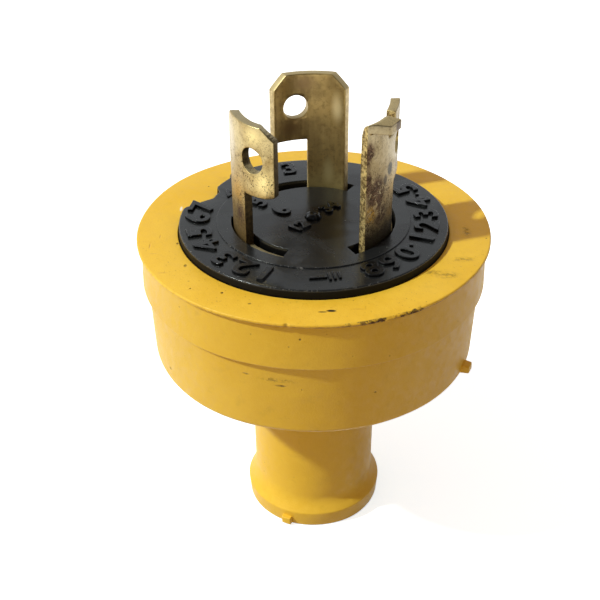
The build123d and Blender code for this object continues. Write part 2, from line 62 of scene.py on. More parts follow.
# Rubber body: radii and heights, mm
END_RADIUS = 11.75
FLARE_RADIUS = 12.0
RING_Z = 3.0
WAIST_RADIUS = 10.6
WAIST_Z = 7.2
NECK_RADIUS = 10.7
NECK_Z = 23.1
SHOULDER_RADIUS = 13.4
SHOULDER_Z = 26.7
HEAD_RADIUS = 26.75
HEAD_Z = 34.3
BAND_RADIUS = 27.15
STEP_RADIUS = 27.95
STEP_Z = 46.9
WALL_RADIUS = 27.8
LIP_RADIUS = 28.5
LIP_Z = 54.6
RIM_Z = 55.2
FACE_BORE = 22.1
RIM_OVERHANG = 0.28
GROOVE_RADIUS = 24.4
CHAMBER_RADIUS = 21.5
CHAMBER_Z = 36.5
WELL_RADIUS = 15.5
WELL_Z = 33.0
WELL_FLOOR_Z = 31.2
CABLE_BORE = 7.5
KEY_GAP = 0.12

# Contact face: radii and heights, mm
DISC_RADIUS = 21.6
DISC_BASE = 22.0
FACE_Z = 56.5
PLATEAU_RADIUS = 15.6
PLATEAU_Z = 56.7
FLANGE_RADIUS = 24.3
FLANGE_Z = 48.8
FLANGE_TOP_Z = 52.0
SLOT_RADII = (10.76, 13.2)
DIMPLE_RADIUS = 1.3

# Radius and rise above the plateau of the dimple's floor and of the knob in it
DIMPLE_ROWS = ((1.42, -0.12), (1.34, -0.4), (0.9, -0.5), (0.4, -0.52), (0.02, -0.52))
KNOB_ROWS = ((1.28, -0.5), (1.22, -0.1), (1.12, 0.42), (0.86, 0.74), (0.5, 0.8), (0.2, 0.66), (0.02, 0.62))

# Start and end of the three slots, degrees
SLOTS = ((58.5, 129.9), (178.4, 249.6), (299.0, 383.6))

# Outline of the notch in the disc: angle in degrees, radius in mm
NOTCH = (
    (131.0, 23.0), (134.0, 20.9), (146.0, 20.2), (148.2, 18.9), (157.0, 18.55), (167.5, 21.1), (172.0, 23.0),
)

# Holes in the hooks: direction in degrees of each and their height in mm
HOLE_ANGLES = {"line_blade_a": 104.6, "line_blade_b": 223.6, "ground_blade": 353.2}
HOLE_Z = 70.9

# Direction of the bent tab, degrees
TAB_DIRECTION = 326.0

# Raised marks: radius of the ring, angles on its left and right, then text, radius, angle, turn and scale
MARK_RADIUS = 18.4
LEFT_MARKS = (247.4, 235.7, 222.6, 208.6, 194.6, 180.4, 169.0)
RIGHT_MARKS = (298.7, 310.0, 321.6, 338.7, 351.4, 3.6, 16.2, 32.4)
INNER_MARKS = (
    ("6", 5.4, 160.3, 70.0, 0.82), ("5", 10.0, 152.9, 62.0, 0.82), ("4", 15.9, 149.0, 50.0, 0.8),
    ("3", 17.9, 103.5, 14.0, 1.05), ("12", 4.1, 237.0, 50.0, 0.6), ("34", 4.0, 47.0, 50.0, 0.6),
    ("1", 18.4, 84.0, -6.0, 0.9),
)

# Bar, ticks and dots of the contact face: x, y, length, width in mm and turn in degrees
TICKS = (
    (0.7, -18.3, 2.7, 0.55, 8.0), (2.35, -17.85, 2.3, 0.42, 100.0), (3.1, -17.7, 2.2, 0.42, 100.0),
    (3.85, -17.55, 1.9, 0.42, 100.0), (15.1, -8.9, 0.6, 0.6, 0.0), (17.3, 7.9, 0.6, 0.6, 0.0),
)

# Stretches of angles round the plug: start, end and step in degrees
RING_STRETCHES = ((0, 128, 1.25), (128, 176, 0.4), (176, 256, 1.45), (256, 302, 0.5), (302, 360, 1.45))

# Nubs of the moulding: direction in degrees, then bottom, top, width and the radii of both ends in mm
NUBS = ((336.0, 34.2, 35.8, 2.1, 25.9, 27.95), (247.0, 0.25, 1.95, 2.0, 11.0, 12.7))
NUB_SEED = 7

# Crumbled stretch and chip of the lip, degrees
CRUMBS_ANGLE = 292.5
CHIP_ANGLE = 262.2

# Pinch of the flare above the bottom ring: direction in degrees, then depth and heights in mm
LEDGE_ANGLE = 325.0
LEDGE_DEPTH = 0.5
LEDGE_Z = (3.2, 6.4)

# Single marks on the rubber, mm: centre and half sizes
CRUMBS_CENTRE = (11.5, -26.2, 55.0)
RUBBER_NICK = ((-22.0, 5.9, 55.2), (0.28, 1.1, 0.5))
RUBBER_MARKS = (
    ((-3.9, -28.3, 55.0), (0.42, 0.6, 0.5)), ((-19.5, -12.3, 55.2), (0.35, 0.5, 0.5)),
    ((-21.4, -5.6, 55.2), (0.25, 0.4, 0.5)), ((-13.4, -20.0, 55.2), (0.3, 0.35, 0.5)),
    ((-9.2, -22.9, 55.2), (0.35, 0.3, 0.5)), ((-9.9, -25.1, 44.3), (0.8, 0.6, 0.22)),
    ((-4.8, -26.6, 43.0), (1.1, 0.6, 0.25)), ((-23.0, -14.1, 36.9), (0.5, 0.6, 0.3)),
    ((19.9, -19.6, 46.4), (1.5, 1.5, 0.5)), ((-1.9, -27.9, 52.2), (0.25, 0.4, 0.25)),
    ((9.2, -25.4, 41.0), (0.3, 0.5, 0.2)),
)
RUBBER_SMUDGES = (
    ((23.1, -10.6, 55.2), (2.4, 1.0, 0.6)), ((20.2, -15.2, 55.2), (2.6, 1.4, 0.6)),
    ((17.9, -14.4, 55.2), (2.4, 1.0, 0.6)), ((24.5, -2.0, 55.2), (1.0, 2.6, 0.6)),
    ((-6.0, -26.8, 44.0), (4.5, 1.5, 0.6)),
)
RUBBER_SCRATCHES = (
    ((-25.7, -6.2, 55.2), (0.14, 1.3, 0.5)), ((-24.9, -8.6, 55.2), (0.9, 0.12, 0.5)),
    ((-22.7, -14.3, 55.2), (1.2, 0.14, 0.5)), ((-24.4, -3.3, 55.2), (0.12, 0.9, 0.5)),
    ((6.5, -24.2, 55.2), (1.6, 0.12, 0.5)),
)
RUBBER_PITS = (((2.6, -24.7, 55.2), (0.9, 0.34, 0.5)), ((1.3, -25.0, 55.2), (0.8, 0.14, 0.5)))

# Colours that are not settings
# Brown of the line under the lip: painted shade, with some crust
CRUST_AND_SHADE_BROWN = (0.36, 0.15, 0.02)
SCRATCH_TONE = (0.62, 0.3, 0.05)
PIT_TONE = (0.008, 0.005, 0.003)
NICK_TONE = (0.95, 0.9, 0.75)
# Pale rubber of the painted highlight along the step
STEP_HIGHLIGHT_TONE = (1.0, 0.72, 0.25)
# Painted shade on the walls of the disc and slots
WALL_PAINTED_SHADE = (0.002, 0.002, 0.002)
DUST = (0.42, 0.42, 0.4)
BRASS_PIT = (0.05, 0.03, 0.012)
BRIGHT_SCREW = (0.66, 0.5, 0.24)
GREEN_SCREW = (0.06, 0.3, 0.12)

# Camera: distance in m from the middle of the rim, elevation and the turns off that line, radians
CAMERA_DISTANCE = 0.17905
CAMERA_ELEVATION = 0.5103
CAMERA_PAN, CAMERA_TILT, CAMERA_ROLL = 0.0122, -0.0673, 0.0019
SENSOR_WIDTH = 36.0

# Light: direction of the key and colours of key, sky and seen background
KEY_DIRECTION = (-0.682, -0.228, 0.695)
KEY_COLOUR = (0.93, 1.0, 0.96)
SKY_COLOUR = (1.0, 0.76, 0.64, 1.0)
BACKDROP_COLOUR = (0.93, 0.97, 1.0, 1.0)
FLOOR_GLOW = (0.84, 0.95, 1.0, 1.0)
FLOOR_GLOW_STRENGTH = 0.74
FLOOR_HALF_SIZE = 1.5


# Shader nodes


class Nodes:
    """Adds nodes to one tree. Values and sockets can be given alike."""

    def __init__(self, tree, shader=None):
        self.tree = tree
        self.shader = shader

    def add(self, kind, settings=None, **inputs):
        """A node. Inputs are named with underscores for spaces, or i0, i1 by their place."""
        made = self.tree.nodes.new(kind)
        for key, value in (settings or {}).items():
            setattr(made, key, value)
        for key, value in inputs.items():
            numbered = key[0] == "i" and key[1:].isdigit()
            self.plug(value, made.inputs[int(key[1:]) if numbered else key.replace("_", " ")])
        return made

    def plug(self, value, socket):
        """Links a socket to an input, or writes a value to it."""
        if isinstance(value, bpy.types.NodeSocket):
            self.tree.links.new(value, socket)
        else:
            socket.default_value = value

    def shade(self, **inputs):
        """Gives the shader its inputs."""
        for key, value in inputs.items():
            self.plug(value, self.shader.inputs[key.replace("_", " ")])

    def millimetres(self, scale=(1000.0, 1000.0, 1000.0)):
        """Position on the object, in millimetres unless another scale is given."""
        place = self.add("ShaderNodeTexCoord").outputs["Object"]
        return self.add("ShaderNodeMapping", Vector=place, Scale=scale).outputs["Vector"]

    def noise(self, vector, scale, detail=2.0, roughness=0.5, distortion=0.0):
        """Grey noise."""
        made = self.add(
            "ShaderNodeTexNoise", Vector=vector, Scale=scale, Detail=detail, Roughness=roughness,
            Distortion=distortion,
        )
        return made.outputs["Fac"]

    def ramp(self, value, low, high, out_low=0.0, out_high=1.0, smooth=True):
        """Value mapped from one range to another, clamped."""
        kind = "SMOOTHSTEP" if smooth else "LINEAR"
        made = self.add(
            "ShaderNodeMapRange", {"interpolation_type": kind, "clamp": True},
            Value=value, From_Min=low, From_Max=high, To_Min=out_low, To_Max=out_high,
        )
        return made.outputs["Result"]

    def maths(self, operation, first, second=0.0):
        """Arithmetic on values."""
        return self.add("ShaderNodeMath", {"operation": operation}, i0=first, i1=second).outputs[0]

    def vector(self, operation, output, **inputs):
        """Arithmetic on vectors."""
        return self.add("ShaderNodeVectorMath", {"operation": operation}, **inputs).outputs[output]

    def times(self, *values):
        """Product of values."""
        return functools.reduce(lambda first, second: self.maths("MULTIPLY", first, second), values)

    def plus(self, *values):
        """Sum of values."""
        return functools.reduce(lambda first, second: self.maths("ADD", first, second), values)

    def minus(self, first, second):
        """Difference of two values."""
        return self.maths("SUBTRACT", first, second)

    def apart(self, first, second):
        """Distance between two values."""
        return self.maths("ABSOLUTE", self.minus(first, second))

    def most(self, *values):
        """Largest of several values."""
        return functools.reduce(lambda first, second: self.maths("MAXIMUM", first, second), values)

    def mix(self, factor, first, second):
        """Colour mix."""
        made = self.add("ShaderNodeMix", {"data_type": "RGBA", "blend_type": "MIX"})
        for index, value in ((0, factor), (6, first), (7, second)):
            plain = index == 0 or isinstance(value, bpy.types.NodeSocket)
            self.plug(value if plain else (*value, 1.0), made.inputs[index])
        return made.outputs[2]

    def specks(self, vector, scale, size, share):
        """Mask of sparse small dots: cells of a Voronoi pattern, of which only a share is kept."""
        cells = self.add("ShaderNodeTexVoronoi", Vector=vector, Scale=scale)
        dot = self.ramp(cells.outputs["Distance"], size, size * 0.4)
        draw = self.add("ShaderNodeSeparateColor", Color=cells.outputs["Color"]).outputs[0]
        return self.times(dot, self.maths("LESS_THAN", draw, share))

    def blot(self, vector, centre, size, edge=0.45):
        """Mask of one mark at a place: centre and half sizes along the axes in millimetres."""
        moved = self.vector("SUBTRACT", 0, i0=vector, i1=centre)
        shrunk = self.vector("DIVIDE", 0, i0=moved, i1=size)
        return self.ramp(self.vector("LENGTH", "Value", i0=shrunk), 1.0, 1.0 - edge)

    def blots(self, vector, marks, edge):
        """Mask of several marks."""
        return self.most(*[self.blot(vector, centre, size, edge) for centre, size in marks])

    def bump(self, height, distance):
        """Bump from a height in the given depth, in metres."""
        made = self.add("ShaderNodeBump", Height=height, Distance=distance, Strength=1.0)
        self.shade(Normal=made.outputs["Normal"])

    def plan(self, place):
        """Distance from the plug's axis, the coordinates and the vector from the axis."""
        parts = self.add("ShaderNodeSeparateXYZ", Vector=place)
        x, y, z = (parts.outputs[axis] for axis in "XYZ")
        flat = self.add("ShaderNodeCombineXYZ", X=x, Y=y, Z=0.0).outputs[0]
        return self.vector("LENGTH", "Value", i0=flat), (x, y, z), flat

    def veins(self, vector, scale, width, detail):
        """Mask of thin wandering lines, where a distorted noise passes its middle value."""
        wander = self.noise(vector, scale, detail, 0.6, 1.2)
        return self.ramp(self.apart(wander, 0.5), width, width * 0.2)

    def near(self, place, centre, far, close):
        """1 close to a point and 0 beyond a distance from it."""
        return self.ramp(self.vector("DISTANCE", "Value", i0=place, i1=centre), far, close)

    def seen(self):
        """1 for rays from the camera, of gloss or through glass, otherwise 0."""
        path = self.add("ShaderNodeLightPath").outputs
        return self.most(path["Is Camera Ray"], path["Is Glossy Ray"], path["Is Transmission Ray"])


def new_material(name, colour, roughness, metallic=0.0):
    """Material and the nodes of its own shader."""
    material = bpy.data.materials.new(name)
    material.use_nodes = True
    tree = material.node_tree
    n = Nodes(tree, tree.nodes["Principled BSDF"])
    n.shade(Base_Color=(*colour, 1.0), Roughness=roughness, Metallic=metallic)
    return material, n


def scaled(colour, share):
    """A colour made darker or lighter."""
    return tuple(share * value for value in colour)


# Meshes


def placed(name, data):
    """Object in the scene for a mesh, curve, lamp or camera."""
    made = bpy.data.objects.new(name, data)
    bpy.context.scene.collection.objects.link(made)
    return made


def object_from(name, vertices, faces, material):
    """Mesh object in metres from lists of points and faces."""
    mesh = bpy.data.meshes.new(name)
    mesh.from_pydata(vertices, [], faces)
    mesh.validate()
    mesh.materials.append(material)
    return placed(name, mesh)


def object_from_tool(name, tool, material):
    """Mesh object from a bmesh, which is freed."""
    mesh = bpy.data.meshes.new(name)
    tool.to_mesh(mesh)
    tool.free()
    mesh.materials.append(material)
    return placed(name, mesh)


def mesh_of(curve):
    """Mesh of a curve or text, which needs an object for a moment."""
    holder = placed(curve.name, curve)
    bpy.context.view_layer.update()
    mesh = bpy.data.meshes.new_from_object(holder.evaluated_get(bpy.context.evaluated_depsgraph_get()))
    bpy.data.objects.remove(holder)
    return mesh


def settle(made, sharp_degrees):
    """Applies an object's modifiers and smooths it between its sharp edges."""
    graph = bpy.context.evaluated_depsgraph_get()
    mesh = bpy.data.meshes.new_from_object(made.evaluated_get(graph))
    made.modifiers.clear()
    old = made.data
    made.data = mesh
    if old.users == 0:
        bpy.data.meshes.remove(old)
    mesh.shade_smooth()
    mesh.set_sharp_from_angle(angle=math.radians(sharp_degrees))


def weigh_normals(made):
    """Lets the large flat faces keep their own normals next to small rounded edges."""
    weighted = made.modifiers.new("weighted", "WEIGHTED_NORMAL")
    weighted.keep_sharp = True
    weighted.weight = 90


def polar(radius, degrees):
    """Point in plan, mm."""
    return (radius * math.cos(math.radians(degrees)), radius * math.sin(math.radians(degrees)))


def rounded(corners, steps=5):
    """Closed section with its corners rounded. Each corner is (r, z, radius); radius 0 stays sharp."""
    points = []
    count = len(corners)
    for index, (r, z, radius) in enumerate(corners):
        here = Vector((r, z))
        if radius <= 0:
            points.append(here)
            continue
        before = Vector(corners[index - 1][:2]) - here
        after = Vector(corners[(index + 1) % count][:2]) - here
        half = before.angle(after) / 2
        reach = min(radius / math.tan(half), before.length * 0.49, after.length * 0.49)
        radius = reach * math.tan(half)
        bisector = (before.normalized() + after.normalized()).normalized()
        centre = here + bisector * (radius / math.sin(half))
        start = here + before.normalized() * reach - centre
        end = here + after.normalized() * reach - centre
        sweep = math.atan2(start.x * end.y - start.y * end.x, start.dot(end))
        for step in range(steps + 1):
            angle = sweep * step / steps
            turned = Vector((start.x * math.cos(angle) - start.y * math.sin(angle),
                             start.x * math.sin(angle) + start.y * math.cos(angle)))
            points.append(centre + turned)
    return points


def notch_radius(degrees):
    """Radius of the notch's outline at an angle, or infinity away from it."""
    for (a0, r0), (a1, r1) in zip(NOTCH, NOTCH[1:]):
        if a0 <= degrees <= a1:
            return r0 + (r1 - r0) * (degrees - a0) / (a1 - a0)
    return math.inf


def notched(radius, degrees, gap=0.0):
    """Radius of an edge that follows a circle but dips into the notch, with its corners softened."""
    window = (-1.2, -0.8, -0.4, 0.0, 0.4, 0.8, 1.2)
    values = [min(radius, notch_radius(degrees + shift) - gap) for shift in window]
    return sum(values) / len(values)


def ring_angles():
    """Angles round the plug, closer together over the notch and the crumbled front of the lip."""
    angles = []
    for start, end, step in RING_STRETCHES:
        count = round((end - start) / step)
        angles += [start + (end - start) * index / count for index in range(count)]
    return angles


def lathe(name, rows, angles, place, material):
    """Closed ring of sections. place(row, angle) gives the point for a row of the section."""
    vertices = [place(row, angle) for angle in angles for row in rows]
    width = len(rows)
    faces = []
    for column in range(len(angles)):
        following = (column + 1) % len(angles)
        for index in range(width):
            beyond = (index + 1) % width
            faces.append((
                column * width + index, following * width + index,
                following * width + beyond, column * width + beyond,
            ))
    return object_from(name, vertices, faces, material)


# Rubber body


def rubber_material(settings):
    """Satin yellow rubber with mottling, dark specks, crumbs along the lip, single marks, a brown line of
    painted shade under the lip and a painted highlight along the step.
    """
    rough = settings.roughness
    material, n = new_material("yellow_rubber", settings.colour, rough)
    n.shade(Specular_IOR_Level=0.36)
    place = n.millimetres()
    radius, (x, y, height), _ = n.plan(place)
    fine = n.noise(place, 0.9, 4.0, 0.6)
    tone = n.plus(n.times(n.noise(place, 0.07, 3.0), 0.6), n.times(fine, 0.4))
    colour = n.mix(n.ramp(tone, 0.36, 0.64), settings.colour, settings.second_colour)
    cloudy = n.ramp(n.noise(place, 0.33, 5.0, 0.7), 0.55, 0.75)
    colour = n.mix(n.times(cloudy, 0.1), colour, settings.dirt_colour)

    # Specks and grit, most of them on the rim
    top = n.ramp(height, 54.7, 55.0)
    dots = n.times(n.specks(place, 0.55, 0.1, 0.13), n.plus(n.times(top, 0.55), 0.3))
    tiny = n.times(n.specks(place, 1.5, 0.1, 0.09), n.plus(n.times(top, 0.35), 0.15))
    grit = n.ramp(n.noise(place, 4.2, 2.0), 0.7, 0.75)
    grit = n.times(grit, n.times(top, n.ramp(y, 0.0, -12.0, 0.15, 0.6)))

    # Crumbs on the lip's edge, and a brown line under it: painted shade of the lip's overhang, with some
    # crust
    lip_edge = n.times(n.ramp(radius, 28.1, 28.42), n.ramp(height, 54.35, 54.75))
    crumbs = n.ramp(n.noise(place, 0.9, 6.0, 0.8), 0.5, 0.58)
    thick = n.plus(n.times(n.near(place, CRUMBS_CENTRE, 9.5, 2.0), 0.95), 0.12)
    crumbs = n.times(crumbs, thick, lip_edge)
    under = n.times(n.ramp(n.apart(height, 54.68), 0.17, 0.05), n.ramp(radius, 27.9, 28.2))
    under = n.times(under, n.ramp(y, 2.0, -12.0), n.ramp(x, -16.0, -4.0, 0.1, 1.0))
    under = n.times(under, n.ramp(n.noise(place, 0.35, 4.0, 0.7), 0.34, 0.6, 0.15, 0.8))
    colour = n.mix(under, colour, CRUST_AND_SHADE_BROWN)

    # Single marks, scratches and pits
    broken = n.ramp(n.noise(place, 1.7, 5.0, 0.75), 0.42, 0.6)
    smudge = n.times(n.blots(place, RUBBER_SMUDGES, 0.95), broken, 0.5)
    single = n.times(n.blots(place, RUBBER_MARKS, 0.7), n.plus(n.times(broken, 0.5), 0.4))
    stain = n.most(dots, tiny, grit, crumbs, single, smudge)
    colour = n.mix(stain, colour, settings.dirt_colour)
    scratches = n.times(n.blots(place, RUBBER_SCRATCHES, 0.9), 0.5)
    colour = n.mix(scratches, colour, SCRATCH_TONE)
    pit = n.blots(place, RUBBER_PITS, 0.45)
    colour = n.mix(pit, colour, PIT_TONE)
    colour = n.mix(n.blot(place, *RUBBER_NICK, 0.6), colour, NICK_TONE)

    # Painted highlight: a pale broken line along the step's edge
    step_highlight = n.times(n.ramp(n.apart(height, STEP_Z + 0.08), 0.12, 0.03), n.ramp(radius, 27.3, 27.6))
    step_highlight = n.times(step_highlight, n.ramp(n.noise(place, 0.5, 4.0), 0.4, 0.55))
    colour = n.mix(n.times(step_highlight, 0.55), colour, STEP_HIGHLIGHT_TONE)

    grain = n.plus(n.times(n.noise(place, 3.2, 4.0, 0.65), 0.16), n.times(n.noise(place, 0.2, 2.0), 0.7))
    n.shade(
        Base_Color=colour,
        Roughness=n.plus(n.ramp(fine, 0.3, 0.7, rough - 0.05, rough + 0.1), n.times(stain, 0.25)),
    )
    n.bump(n.minus(grain, n.times(n.most(pit, stain, scratches), 0.6)), 0.00022)
    return material


def body_section():
    """Outer and inner outline of the rubber body."""
    wide, tall = FLARE_RADIUS - WAIST_RADIUS, WAIST_Z - RING_Z
    bend = (wide * wide + tall * tall) / (2 * wide)
    heights = [RING_Z + tall * step / 6 for step in range(1, 7)]
    flare = [(WAIST_RADIUS + bend - math.sqrt(bend * bend - (WAIST_Z - z) ** 2), z, 0.0) for z in heights]
    outer = [
        (CABLE_BORE, 0.0, 0.45), (END_RADIUS, 0.0, 0.35), (FLARE_RADIUS, RING_Z, 0.45), *flare,
        (NECK_RADIUS, NECK_Z, 3.0), (SHOULDER_RADIUS, SHOULDER_Z, 3.0), (HEAD_RADIUS, HEAD_Z, 1.0),
        (BAND_RADIUS, STEP_Z, 0.12), (STEP_RADIUS, STEP_Z, 0.18), (WALL_RADIUS, LIP_Z, 0.18),
        (LIP_RADIUS, LIP_Z, 0.2), (LIP_RADIUS, RIM_Z, 0.25), (FACE_BORE - RIM_OVERHANG, RIM_Z, 0.12),
    ]
    inner = [
        (FACE_BORE, FLANGE_TOP_Z, 0.0), (GROOVE_RADIUS, FLANGE_TOP_Z, 0.0), (GROOVE_RADIUS, FLANGE_Z, 0.0),
        (CHAMBER_RADIUS, FLANGE_Z, 0.0), (CHAMBER_RADIUS, CHAMBER_Z, 0.4), (WELL_RADIUS, WELL_Z, 0.3),
        (WELL_RADIUS, WELL_FLOOR_Z, 0.3), (CABLE_BORE, WELL_FLOOR_Z, 0.2),
    ]
    return rounded(outer + inner)


def worn_lip(degrees, z):
    """How far the lip is crumbled away at an angle and height, mm."""
    stretch = max(0.0, 1.0 - abs(degrees - CRUMBS_ANGLE) / 9.0)
    chip = max(0.0, 1.0 - abs(degrees - CHIP_ANGLE) / 1.2)
    coarse = abs(noise.noise(Vector((degrees * 0.9, z * 1.5, 2.0))))
    fine = abs(noise.noise(Vector((degrees * 2.3, z * 3.0, 9.0))))
    return 0.5 * (stretch + chip) * (coarse + 0.35 * fine)


def build_rubber(settings):
    """The moulded rubber body, in place of its CAD solid."""
    material = rubber_material(settings)
    uneven = settings.unevenness

    def place(row, degrees):
        r, z = row
        if abs(r - FACE_BORE) < 0.45 and z > FLANGE_TOP_Z - 0.1:
            r = notched(FACE_BORE, degrees, KEY_GAP) + (r - FACE_BORE)
        if r > 9.0 and z < 50.0 or r > 26.0:
            direction = Vector((*polar(1.0, degrees), z * 0.035))
            r += uneven * (noise.noise(direction * 1.7) * min(1.0, (r - 7.0) / 20))
        if LEDGE_Z[0] < z < LEDGE_Z[1] and r > 10.0:
            side = max(0.0, math.cos(math.radians(degrees - LEDGE_ANGLE)))
            r -= LEDGE_DEPTH * side * math.sin(math.pi * (z - LEDGE_Z[0]) / (LEDGE_Z[1] - LEDGE_Z[0]))
        if r > 28.0 and z > 54.0:
            r -= worn_lip(degrees, z)
        x, y = polar(r, degrees)
        lift = 0.0
        if z > 54.0 and r > 18.0:
            lift = uneven * 0.5 * noise.noise(Vector((x * 0.06, y * 0.06, 4.0))) - uneven * 0.25
        return (x * MM, y * MM, (z + lift) * MM)

    shell = lathe("rubber_shell", body_section(), ring_angles(), place, material)
    weigh_normals(shell)
    settle(shell, 50.0)
    for number, nub in enumerate(NUBS, start=1):
        made = build_nub(f"moulding_nub_{number}", *nub, material)
        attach(made, BODY)
    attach(shell, BODY)
    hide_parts("rubber_body")


def build_nub(name, degrees, low, high, width, start, outer, material):
    """Small ragged nub where the rubber was fed into its mould."""
    tool = bmesh.new()
    bmesh.ops.create_cube(tool, size=1.0)
    turn = Matrix.Rotation(math.radians(degrees), 4, "Z")
    for vertex in tool.verts:
        taper = 0.82 if vertex.co.x > 0 else 1.0
        vertex.co = Vector((
            (start + outer) / 2 + vertex.co.x * (outer - start),
            vertex.co.y * width * taper,
            (low + high) / 2 + vertex.co.z * (high - low) * taper,
        )) * MM
    bmesh.ops.transform(tool, matrix=turn, verts=tool.verts)
    bmesh.ops.bevel(tool, geom=tool.edges[:], offset=0.22 * MM, segments=3, affect="EDGES", profile=0.6)
    bmesh.ops.subdivide_edges(tool, edges=tool.edges[:], cuts=1)
    # Without a seed noise_vector takes its offsets from the clock
    noise.seed_set(NUB_SEED)
    for vertex in tool.verts:
        vertex.co += Vector(noise.noise_vector(vertex.co * 900.0)) * 0.06 * MM
    made = object_from_tool(name, tool, material)
    made.data.shade_smooth()
    made.data.set_sharp_from_angle(angle=math.radians(50))
    return made


# Contact face


def face_material(settings):
    """Glossy black moulded plastic with handling smears, dust, and bright chips with painted glints along
    its edges.
    """
    low, high = settings.roughness - 0.05, settings.roughness + 0.09
    material, n = new_material("black_plastic", settings.colour, settings.roughness)
    place = n.millimetres()
    radius, (x, _, height), _ = n.plan(place)
    smear = n.noise(place, 0.12, 5.0, 0.6, 0.8)
    fine = n.noise(place, 1.4, 4.0, 0.65)

    # Chips on the disc's edge and along the step of the plateau, with painted glints: both grow stronger
    # towards the lit near left
    rim = n.ramp(n.apart(radius, DISC_RADIUS - 0.12), 0.2, 0.08)
    rim = n.times(rim, n.ramp(height, FACE_Z - 0.3, FACE_Z - 0.12), n.ramp(x, 2.0, -9.0, 0.25, 1.0))
    line = n.ramp(n.apart(radius, PLATEAU_RADIUS), 0.16, 0.06)
    line = n.times(line, n.plus(n.times(n.near(place, (-8.0, -13.5, 56.6), 11.0, 6.0), 0.85), 0.15))
    chips_and_glints = n.times(n.most(rim, line), n.ramp(n.noise(place, 1.3, 5.0, 0.8), 0.54, 0.6))
    # The dust takes the chips and painted glints at about half strength
    dust = n.most(n.specks(place, 0.8, 0.07, 0.12), n.specks(place, 2.2, 0.1, 0.06), n.times(chips_and_glints, 0.55))

    # The walls of disc and slots get painted shade, a deeper black, and take less light from beside them
    wall = n.ramp(height, FACE_Z - 0.15, FACE_Z - 0.4)
    colour = n.mix(n.ramp(smear, 0.4, 0.75), settings.colour, settings.worn_colour)
    colour = n.mix(wall, colour, WALL_PAINTED_SHADE)
    rough = n.plus(
        n.ramp(smear, 0.35, 0.7, low, high), n.times(fine, 0.05), n.times(n.most(dust, wall), 0.3),
    )
    n.shade(
        Base_Color=n.mix(n.times(dust, 0.5), colour, DUST),
        Specular_IOR_Level=n.ramp(wall, 0.0, 1.0, 0.5, 0.16),
        Roughness=rough,
    )
    sag = n.noise(place, 0.2, 2.0)
    n.bump(n.plus(n.times(fine, 0.12), n.times(sag, 0.88), n.times(chips_and_glints, 0.4)), 0.0001)
    return material


def plate_from_outlines(name, outlines, low, high, edge, material):
    """Flat plate with rounded edges from closed outlines in mm; inner outlines are holes."""
    curve = bpy.data.curves.new(name, "CURVE")
    curve.dimensions = "2D"
    curve.fill_mode = "BOTH"
    for outline in outlines:
        spline = curve.splines.new("POLY")
        spline.points.add(len(outline) - 1)
        for point, (x, y) in zip(spline.points, outline):
            point.co = (x * MM, y * MM, 0.0, 1.0)
        spline.use_cyclic_u = True
    curve.extrude = ((high - low) / 2 - edge) * MM
    curve.bevel_depth = edge * MM
    curve.bevel_resolution = 3
    curve.offset = -edge * MM
    mesh = mesh_of(curve)
    mesh.transform(Matrix.Translation((0, 0, (low + high) / 2 * MM)))
    mesh.materials.clear()
    mesh.materials.append(material)
    return placed(name, mesh)


def slot_outline(start, end):
    """Outline of one curved slot."""
    inner, outer = SLOT_RADII
    count = 30
    points = [polar(inner, start + (end - start) * index / count) for index in range(count + 1)]
    points += [polar(outer, end - (end - start) * index / count) for index in range(count + 1)]
    return points


def joined(name, objects):
    """One object from several, all with the same material."""
    tool = bmesh.new()
    material = objects[0].data.materials[0]
    for made in objects:
        tool.from_mesh(made.data)
        bpy.data.objects.remove(made)
    return object_from_tool(name, tool, material)


def build_face(settings):
    """The black contact face with its notch, plateau, slots and dimple, in place of its CAD solid."""
    material = face_material(settings)
    circle = [polar(PLATEAU_RADIUS, degrees) for degrees in range(0, 360, 2)]
    dimple = [polar(DIMPLE_RADIUS, degrees) for degrees in range(0, 360, 15)]
    outlines = [circle, dimple] + [slot_outline(*slot) for slot in SLOTS]
    plateau = plate_from_outlines(
        "plateau", outlines, FLANGE_Z, PLATEAU_Z, settings.edge_round * 0.6, material,
    )
    section = rounded([
        (PLATEAU_RADIUS - 0.05, FLANGE_Z, 0.0), (FLANGE_RADIUS, FLANGE_Z, 0.2),
        (FLANGE_RADIUS, FLANGE_TOP_Z, 0.0), (DISC_BASE, FLANGE_TOP_Z, 0.0),
        (DISC_BASE - 0.3, RIM_Z, 0.0), (DISC_RADIUS, FACE_Z, settings.edge_round * 1.6),
        (PLATEAU_RADIUS - 0.05, FACE_Z, 0.0),
    ], 6)

    def place(row, degrees):
        r, z = row
        if r > 20.0 and z > FLANGE_TOP_Z - 0.1 and r < 23.0:
            r = notched(DISC_BASE, degrees) + (r - DISC_BASE)
        x, y = polar(r, degrees)
        return (x * MM, y * MM, z * MM)

    ring = lathe("face_ring", section, ring_angles(), place, material)
    face = joined("contact_face", [plateau, ring, dish("dimple_floor", DIMPLE_ROWS, material)])
    weigh_normals(face)
    settle(face, 42.0)
    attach(face, BODY)
    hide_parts("face_insulator")


def dish(name, rows, material, swell=0.0):
    """Rings of points round the centre of the plateau: the dimple's floor or the knob in it."""
    count = 40
    vertices = []
    for r, rise in rows:
        for index in range(count):
            x, y = polar(r, index * 360 / count)
            wide = 1.0 + swell * noise.noise(Vector((x * 1.5, y * 1.5, 7.0)))
            vertices.append((x * wide * MM, y * wide * MM, (PLATEAU_Z + rise) * MM))
    faces = []
    for row in range(0, (len(rows) - 1) * count, count):
        for index in range(count):
            beyond = (index + 1) % count
            faces.append((row + index, row + beyond, row + count + beyond, row + count + index))
    return object_from(name, vertices, faces, material)


# Raised marks


